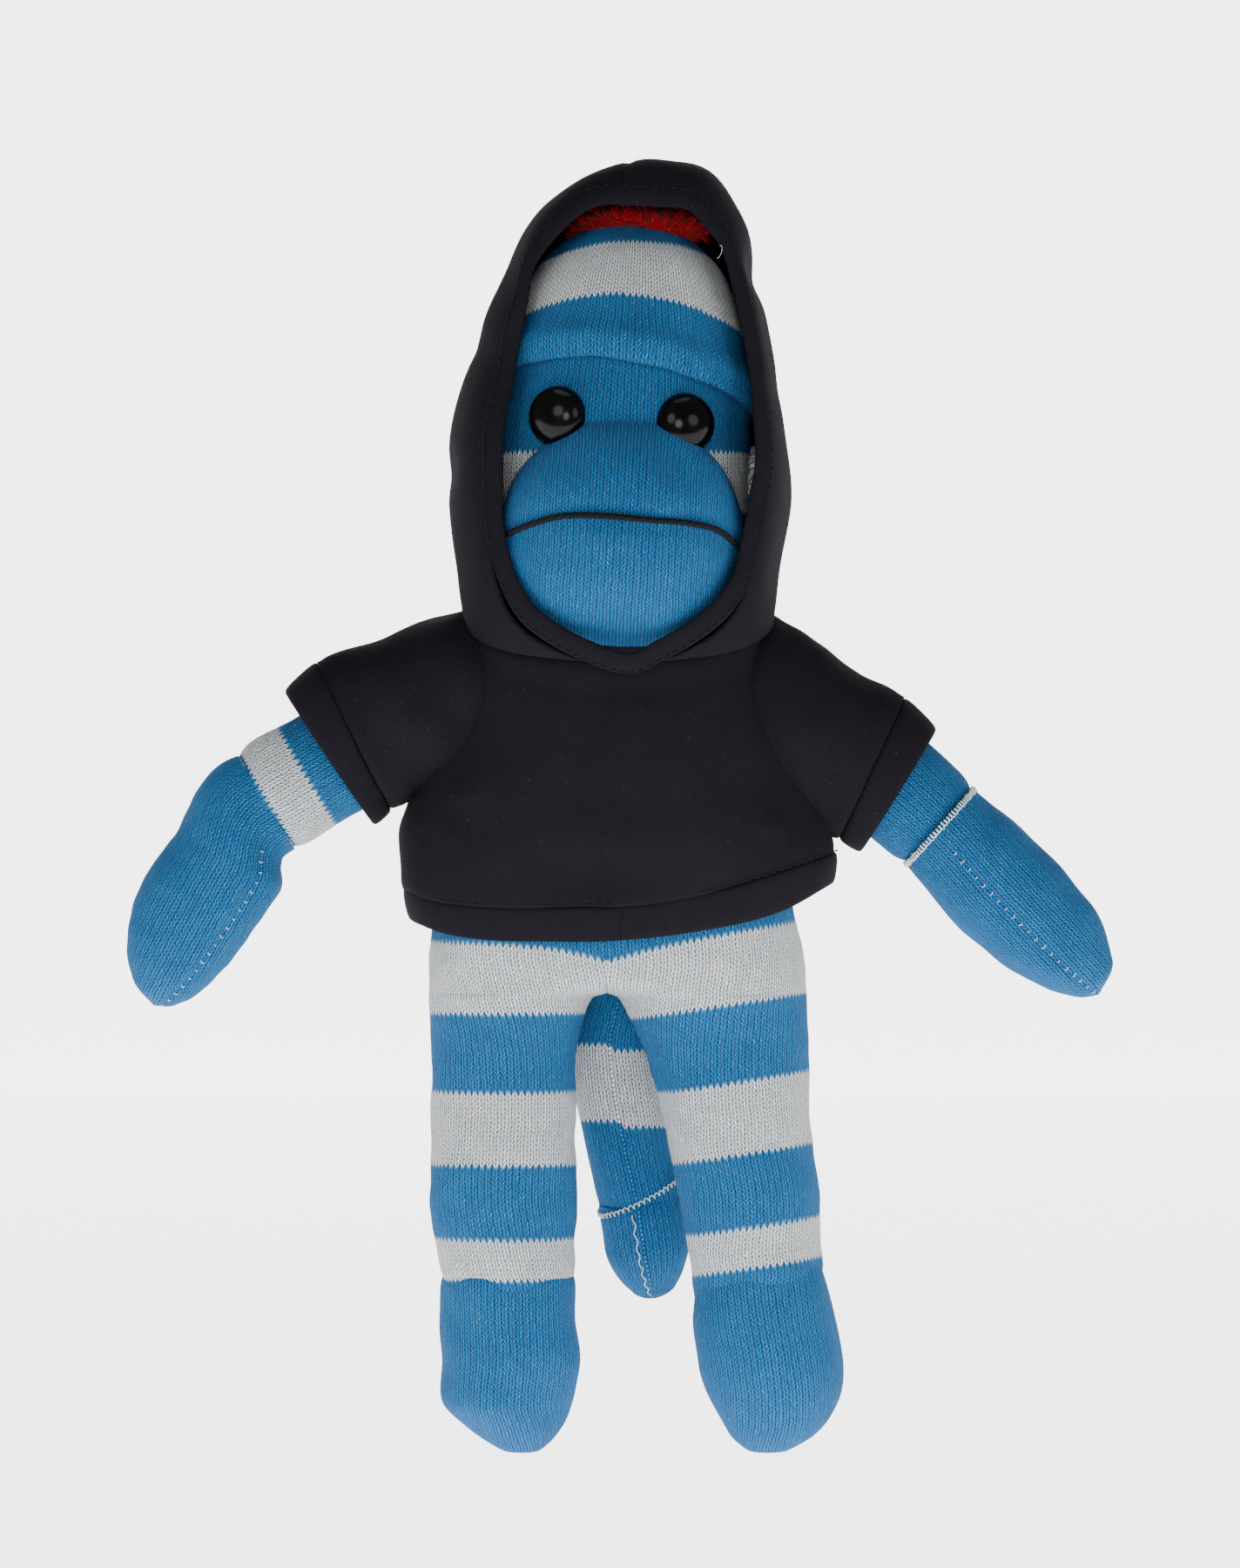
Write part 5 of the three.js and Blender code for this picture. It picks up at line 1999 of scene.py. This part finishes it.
        shift = shift - 0.35 * np.exp(-(((1 - place) / 0.03) ** 2))[:, None]
        points = points + normal * (shift * step(place, 0.05, 0.25)[:, None])[..., None]
        layout = self.cloth_layout(points, (place * 42)[:, None])
        piece = self.wear(
            grid_piece(f"{word}_sleeve_soft", points, layout), self.finishes.fleece, "fleece",
        )
        thickened(piece, self.cloth)
        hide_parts(f"{word}_sleeve")
        start = np.array([side.sign() * 30.0, MIDDLE_Y, 150.0])
        far = np.array([side.sign() * 46.0, MIDDLE_Y, 143.0])
        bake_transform(piece)
        self.sleeve_hem(side, (crest[-1], under[-1]), end)
        LOG.info("%s sleeve", word)

    def drawn(self, points: Curve, place: np.ndarray) -> np.ndarray:
        """Gives points along a smooth line through a few points of X and Z.

        Args:
            points: the few points, mm.
            place: where to read the line, from 0 to 1.

        Returns:
            The points of the line, mm.
        """
        at = np.linspace(0, 1, len(points))
        lines = [along(tuple(zip(at, values)), place) for values in zip(*points)]
        return np.stack(lines, axis=1)

    def sleeve_grid(
        self, crest: np.ndarray, under: np.ndarray, depth: np.ndarray, columns: int,
    ) -> np.ndarray:
        """Gives rings between a line along the top of a sleeve and one along its underside.

        Args:
            crest: the line along the top, X and Z in mm.
            under: the line along the underside.
            depth: the half depth at each ring, mm.
            columns: how many points a ring has.

        Returns:
            The grid, mm.
        """
        middle, half = (crest + under) / 2, (crest - under) / 2
        angle = np.linspace(0, 2 * math.pi, columns)[None]
        up, out = np.cos(angle), np.sin(angle)
        x = middle[:, :1] + half[:, :1] * up
        z = middle[:, 1:] + half[:, 1:] * up
        y = MIDDLE_Y - depth[:, None] * np.sign(out) * np.abs(out) ** 0.92
        return np.stack([x, y, z], axis=-1)

    def sleeve_hem(self, side: Side, start: tuple, end: tuple) -> None:
        """Builds the folded hem at the end of a sleeve.

        Args:
            side: which sleeve.
            start: the points of the crest and the underside where the hem starts, mm.
            end: the same where it ends.
        """
        word = side.word()
        section = np.array(
            [
                (-1.7, 0.0), (-0.6, -0.02), (0.0, 0.06), (0.22, 0.22), (0.3, 0.55), (0.25, 0.85),
                (-0.05, 0.97), (-0.6, 1.0), (-1.3, 0.98), (-1.9, 0.85), (-2.0, 0.4), (-1.8, 0.08),
            ]
        )
        out, share = section[:, 0], section[:, 1]
        first, last = (np.array(v, float) for v in (start, end))
        crest = first[0] + (last[0] - first[0]) * share[:, None]
        under = first[1] + (last[1] - first[1]) * share[:, None]
        radial = (crest - under) / np.linalg.norm(crest - under, axis=1, keepdims=True)
        crest, under = crest + radial * out[:, None], under - radial * out[:, None]
        points = self.sleeve_grid(crest, under, 14.1 + out, 121)
        layout = self.cloth_layout(points, (share * 6)[:, None])
        piece = smoothed(
            self.wear(
                grid_piece(f"{word}_sleeve_hem_soft", points, layout), self.finishes.fleece, "fleece",
            )
        )
        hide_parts(f"{word}_sleeve_hem")
        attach(piece, f"{word}_arm")
        self.stitching(f"{word}_sleeve_stitches", points[1] + outward(points)[2] * 0.25, f"{word}_arm")


@dataclass
class Hood(Dressing):
    """The hood, in two side panels with a seam over the top, and the hem round the face."""

    shirt: Sweatshirt
    middle_z: float = 200.0
    hem_width: float = 4.6
    back_y: float = 35.2  # the hindmost Y, before the middle plane is added
    bulge: float = 0.86

    def polar(self, outline: tuple, centre: tuple[float, float]) -> Curve:
        """Turns an outline of X and Z points into distance by angle, clockwise from straight up.

        Args:
            outline: the points, mm.
            centre: where the distances are measured from, mm.

        Returns:
            The distances, with some repeated before 0 and after a full turn.
        """
        pairs = []
        for x, z in outline:
            angle = math.atan2(x - centre[0], z - centre[1]) % (2 * math.pi)
            pairs.append((angle, math.hypot(x - centre[0], z - centre[1])))
        pairs.sort()
        before = [(a - 2 * math.pi, r) for a, r in pairs[-3:]]
        after = [(a + 2 * math.pi, r) for a, r in pairs[:3]]
        return tuple(before + pairs + after)

    def outlines(self) -> tuple[Curve, Curve]:
        """Gives the edge of the face opening and the hood's widest outline, as distance by angle.

        Returns:
            The opening and the widest outline.
        """
        opening = (
            (1.7, 244.2), (6, 244), (12.6, 243.4), (16.0, 240.2), (18.9, 236.6), (21.4, 228.5),
            (23.2, 220), (24.9, 210.6), (25.6, 201.3), (25.7, 193), (24.8, 188), (23.2, 179.1),
            (21.8, 172.8), (18.2, 167.3), (12.4, 162.6), (6.7, 159.4), (1.7, 157), (-6.2, 159.4),
            (-12.2, 162.5), (-18, 167.3), (-21.3, 174.1), (-22.8, 181.2), (-23, 190.9), (-22.3, 204.3),
            (-20.8, 210.6), (-19.2, 220.3), (-18.3, 225.3), (-16.9, 232.1), (-13.4, 237.2),
            (-9.8, 241.0), (-6, 243.6), (-3, 244.4),
        )
        outer = (
            (6, 254.4), (12.6, 253.4), (16.6, 251.4), (18.7, 249.2), (21.5, 245), (23.9, 240.8),
            (26.6, 232), (28.5, 223.5), (30, 215), (30.9, 206.5), (32.1, 198), (32.9, 189.5),
            (32.6, 181), (31.6, 172.5), (30.6, 165), (28, 155), (20, 148), (0, 145), (-21, 148),
            (-29.5, 155), (-32.3, 165), (-32.8, 172.5), (-34, 181), (-34.6, 189.5), (-33.8, 198),
            (-31.8, 206.5), (-28.5, 215), (-26.3, 223.5), (-22.8, 232), (-19.3, 241), (-16.6, 245),
            (-10.8, 249.6), (-5, 252.4), (0, 253.8),
        )
        centre = (0.0, self.middle_z)
        return self.polar(opening, centre), self.polar(outer, centre)

    def rim_depth(self, angle: np.ndarray) -> np.ndarray:
        """Gives Y of the edge of the opening: forward under the chin and further back at the top.

        Args:
            angle: the angles, in radians.

        Returns:
            The values of Y, mm.
        """
        return along(
            (
                (0, -15.0), (0.8, -16.5), (1.57, -21.5), (2.4, -27.0), (2.8, -29.5), (3.14, -30.5),
                (3.48, -29.5), (3.88, -27.0), (4.71, -21.5), (5.48, -16.5), (6.2832, -15.0),
            ),
            angle,
        )

    def surface(self, angle: np.ndarray, share: np.ndarray) -> np.ndarray:
        """Gives points of the hood.

        Args:
            angle: clockwise round the face from straight up, in front view.
            share: 0 on the edge of the opening, 1 on the widest outline, 2 at the back.

        Returns:
            The points, mm.
        """
        opening, outer = self.outlines()
        r0, r1 = along(opening, angle), along(outer, angle)
        y0 = self.rim_depth(angle)
        y1 = along(((0, 1.0), (1.57, 0.0), (3.14, -2.0), (4.71, 0.0), (6.2832, 1.0)), angle)
        t = np.clip(share, 0, 1)
        quarter = t * math.pi / 2
        r_front = r0 + (r1 - r0) * np.sin(quarter) ** self.bulge
        y_front = y1 + (y0 - y1) * np.cos(quarter) ** 1.05
        b = np.clip(share - 1, 0, 1) * math.pi / 2
        r_back = r1 * np.cos(b) ** 0.78
        y_back = y1 + (self.back_y - y1) * np.sin(b) ** 0.92
        back = share > 1
        r, y = np.where(back, r_back, r_front), np.where(back, y_back, y_front)
        drift = np.where(back, np.sin(b) * 6.0, 0.0)
        x = r * np.sin(angle)
        z = self.middle_z + r * np.cos(angle) - drift
        return np.stack([x, y + MIDDLE_Y, z], axis=-1)

    def folds(self, points: np.ndarray, angle: np.ndarray, share: np.ndarray) -> np.ndarray:
        """Gives how far the cloth of the hood stands out, mm.

        Args:
            points: a grid of points, mm.
            angle: the angle of each point, in radians.
            share: its share, as in surface.

        Returns:
            A distance for each point, mm.
        """
        soft = ripple(points * [1, 1, 0.5], 30, 131) * 0.7 + ripple(points * [1, 1, 0.6], 13, 132) * 0.25
        neck = step(points[..., 2], 188, 160)
        gathers = np.sin(angle * 9 + 2.0 * np.sin(angle * 2)) * 0.35 * neck
        roll = -0.25 * np.exp(-(((share - 0.3) / 0.11) ** 2))
        crease = (
            -1.5 * np.exp(-(((angle - 0.62 - 0.1 * share) / 0.09) ** 2)) * step(share, 0.15, 0.5)
            * step(share, 1.6, 0.9)
        )
        side_fold = (
            -0.9 * np.exp(-(((angle - 4.25 - 0.25 * np.sin(share * 2)) / 0.12) ** 2))
            * step(share, 0.3, 0.8)
        )
        seam_angle = np.where(angle > math.pi, angle - 2 * math.pi, angle)
        seam = (
            -0.55 * np.exp(-(((points[..., 0] - 1.8) / 0.7) ** 2)) * (np.abs(seam_angle) < 1.2)
            * step(share, 0.25, 0.4)
        )
        return soft + gathers + roll + crease + side_fold + seam

    def shaped(self, angle: np.ndarray, share: np.ndarray) -> np.ndarray:
        """Gives points of the hood with its folds.

        Args:
            angle: the angles, in radians.
            share: the shares, as in surface.

        Returns:
            The points, mm.
        """
        points = self.surface(angle, share)
        normal = outward(points)
        free = step(share, 0.22, 0.75)
        return points + normal * (self.folds(points, angle, share) * free)[..., None]

    def gathered(self, points: np.ndarray) -> np.ndarray:
        """Draws the sides and the back of the hood in to the neckline, where they are sewn to the body.

        Args:
            points: a grid of points, mm.

        Returns:
            The moved points, mm.
        """
        x, y = points[..., 0], points[..., 1] - MIDDLE_Y
        height = points[..., 2] - self.shirt.neckline - self.shirt.neck_slope * y
        pull = step(height, 22, 1) * step(y, -12, 4)
        neck_x, neck_y = self.shirt.across(np.full_like(x, 165.0), np.arctan2(x, -y))
        limit = np.hypot(neck_x, neck_y - MIDDLE_Y) + 0.4
        share = np.minimum(limit / np.maximum(np.hypot(x, y), 1.0), 1.0)
        factor = 1 - pull * (1 - share)
        return np.stack([x * factor, y * factor + MIDDLE_Y, points[..., 2]], axis=-1)

    def build(self) -> None:
        """Builds the two panels and the hem."""
        angle = np.linspace(0.0, 2 * math.pi, 241)[:, None]
        share = np.concatenate(
            [np.linspace(0.16, 1, 34)[:-1], 2 - (1 - np.linspace(0, 1, 44)) ** 1.6]
        )[None]
        points = self.gathered(self.shaped(angle + 0 * share, share + 0 * angle))
        layout = self.shirt.cloth_layout(points, path_lengths(points[:, 20])[:, None])
        slope = self.shirt.neck_slope
        below = (
            np.array([0, MIDDLE_Y, self.shirt.neckline - 0.4]),
            np.array([0, slope, -1.0]) / math.hypot(1, slope),
        )
        half = len(angle) // 2
        for side, rows in ((Side.LEFT, slice(0, half + 1)), (Side.RIGHT, slice(half, None))):
            name = f"hood_{side.word()}_panel_soft"
            piece = self.wear(
                grid_piece(name, points[rows], layout[rows], 0.02, below), self.finishes.fleece,
                "fleece",
            )
            thickened(piece, self.shirt.cloth)
            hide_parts(f"hood_{side.word()}_panel")
            self.bend(piece)
        self.hem()
        LOG.info("hood")

    def bend(self, piece: Piece) -> None:
        """Bakes the place of a piece of the hood into its mesh."""
        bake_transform(piece)

    def hem(self) -> None:
        """Builds the hem round the face, with its stitches."""
        angle = np.linspace(0, 2 * math.pi, 321)[:, None]
        section = np.array(
            [
                (0.3, -1.3), (0.1, -0.95), (0.0, -0.45), (0.03, 0.0), (0.14, 0.22), (0.35, 0.3),
                (0.62, 0.28), (0.85, 0.2), (0.96, 0.1), (1.0, -0.4), (0.95, -1.0), (0.6, -1.4),
                (0.36, -1.36),
            ]
        )
        across, proud = section[:, 0][None], section[:, 1][None]
        trial = np.linspace(0, 0.6, 61)[None]
        lengths = ring_lengths(self.surface(angle + 0 * trial, trial + 0 * angle))
        wanted = across[0] * self.hem_width
        share = np.array([np.interp(wanted, row, trial[0]) for row in lengths])
        base = self.surface(angle + 0 * share, share + 0 * angle)
        fine = self.surface(angle + 0 * share, share + 0.02)
        ahead = np.gradient(base[:, 6], axis=0)[:, None]
        along_share = fine - base
        normal = np.cross(ahead + 0 * along_share, along_share)
        normal /= np.maximum(np.linalg.norm(normal, axis=-1, keepdims=True), 1e-9)
        centre = np.array([0, 10, self.middle_z])
        normal *= np.sign(np.sum(normal * (base - centre), axis=-1, keepdims=True))
        waver = ripple(base * [1, 0.2, 1], 22, 141)[..., None] * 0.25
        points = base + normal * (proud[..., None] * 0.95 + waver)
        points[-1] = points[0]
        layout = self.shirt.cloth_layout(points, path_lengths(points[:, 3])[:, None])
        piece = self.wear(
            grid_piece("hood_face_hem_soft", points, layout), self.finishes.fleece, "fleece",
        )
        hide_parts("hood_face_hem")
        self.bend(smoothed(piece))
        line = points[:, 7] + normal[:, 7] * 0.2
        stitches = self.shirt.stitching("hood_stitches_soft", line, "")
        self.bend(stitches)


# ---------------------------------------------------------------- studio


@dataclass
class Studio:
    """The floor, the backdrop, the lights and the camera."""

    tall: float = 0.3078  # what the frame shows from top to bottom, m
    aim: tuple[float, float, float] = (-0.00034, 0.0, 0.13142)
    distance: float = 2.4

    def build(self) -> None:
        """Builds the studio."""
        self.backdrop()
        self.lights()
        self.camera()
        LOG.info("studio")

    def backdrop(self) -> None:
        """Builds a floor that curves up into a backdrop."""
        profile = [
            (-0.42, 0.0), (2.9, 0.0), (3.25, 0.03), (3.5, 0.15), (3.65, 0.4), (3.7, 0.8), (3.7, 3.2),
        ]
        mesh = bpy.data.meshes.new("studio_board")
        corners = [(x, y, z - 0.0002) for y, z in profile for x in (-3.0, 3.0)]
        faces = [(2 * i, 2 * i + 1, 2 * i + 3, 2 * i + 2) for i in range(len(profile) - 1)]
        mesh.from_pydata(corners, [], faces)
        mesh.shade_smooth()
        board = bpy.data.objects.new("studio_board", mesh)
        bpy.context.scene.collection.objects.link(board)
        board.data.materials.append(StageFinish().material())

    def lights(self) -> None:
        """Builds a large soft key, a front light, a fill, a top light and a pale surround."""
        setups = (
            ("key", (-0.75, -1.55, 0.8), 0.9, 10.5, (1.0, 0.99, 0.98)),
            ("front", (0.05, -1.9, 0.35), 0.7, 13.0, (1.0, 1.0, 1.0)),
            ("fill", (1.15, -1.2, 0.6), 0.8, 6.5, (0.98, 0.99, 1.0)),
            ("top", (0.0, 0.1, 1.5), 1.0, 4.0, (1.0, 1.0, 1.0)),
        )
        for name, place, size, power, color in setups:
            data = bpy.data.lights.new(name, "AREA")
            data.shape = "DISK"
            data.size = size
            data.energy = power
            data.color = color
            lamp = bpy.data.objects.new(name, data)
            lamp.location = place
            lamp.rotation_euler = (
                Vector((0, 0, 0.13)) - Vector(place)
            ).to_track_quat("-Z", "Y").to_euler()
            bpy.context.scene.collection.objects.link(lamp)
        world = bpy.data.worlds.new("studio")
        world.use_nodes = True
        world.node_tree.nodes["Background"].inputs[0].default_value = (1.0, 1.0, 1.0, 1.0)
        world.node_tree.nodes["Background"].inputs[1].default_value = 0.2
        bpy.context.scene.world = world

    def camera(self) -> None:
        """Builds the camera, straight in front and far off."""
        data = bpy.data.cameras.new("camera")
        data.sensor_fit = "VERTICAL"
        data.sensor_height = 24.0
        data.lens = 24.0 * self.distance / self.tall
        data.clip_end = 20
        camera = bpy.data.objects.new("camera", data)
        camera.location = (self.aim[0], -self.distance, self.aim[2])
        camera.rotation_euler = (math.pi / 2, 0, 0)
        bpy.context.scene.collection.objects.link(camera)
        bpy.context.scene.camera = camera


@dataclass
class NeckThread(Dressing):
    """The gathering thread round the neck."""

    radius: float = 0.75  # of the thread, mm

    def build(self) -> None:
        """Builds the thread."""
        low, high = (np.array(v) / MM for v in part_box("neck_gathering_thread"))
        middle, reach = (low + high) / 2, (high[0] - low[0]) / 2 - 0.8
        angle = np.linspace(0, 2 * math.pi, 72, endpoint=False)
        circle = [reach * np.cos(angle), reach * np.sin(angle), 0.25 * np.sin(angle * 9)]
        path = middle + np.stack(circle, axis=1)
        thread = tube("neck_thread_soft", path, self.radius, 0.5, 10, True)
        self.wear(thread, self.finishes.neck, "white_thread")
        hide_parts("neck_gathering_thread")
        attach(thread, "neck")
        LOG.info("neck thread")


def main() -> None:
    """Builds the whole scene."""
    logging.basicConfig(level=logging.INFO, format="%(name)s: %(message)s")
    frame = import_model()
    finishes = Wardrobe()
    arms = [Arm(finishes, frame, side) for side in Side]
    tail, thread = Tail(finishes, frame), NeckThread(finishes)
    for part in (Trousers(finishes), *arms, tail, thread, Head(finishes), Sweatshirt(finishes)):
        part.build()
        part.dress()
        LOG.info("%s dressed", type(part).__name__)
    Studio().build()


if __name__ == "__main__":
    main()
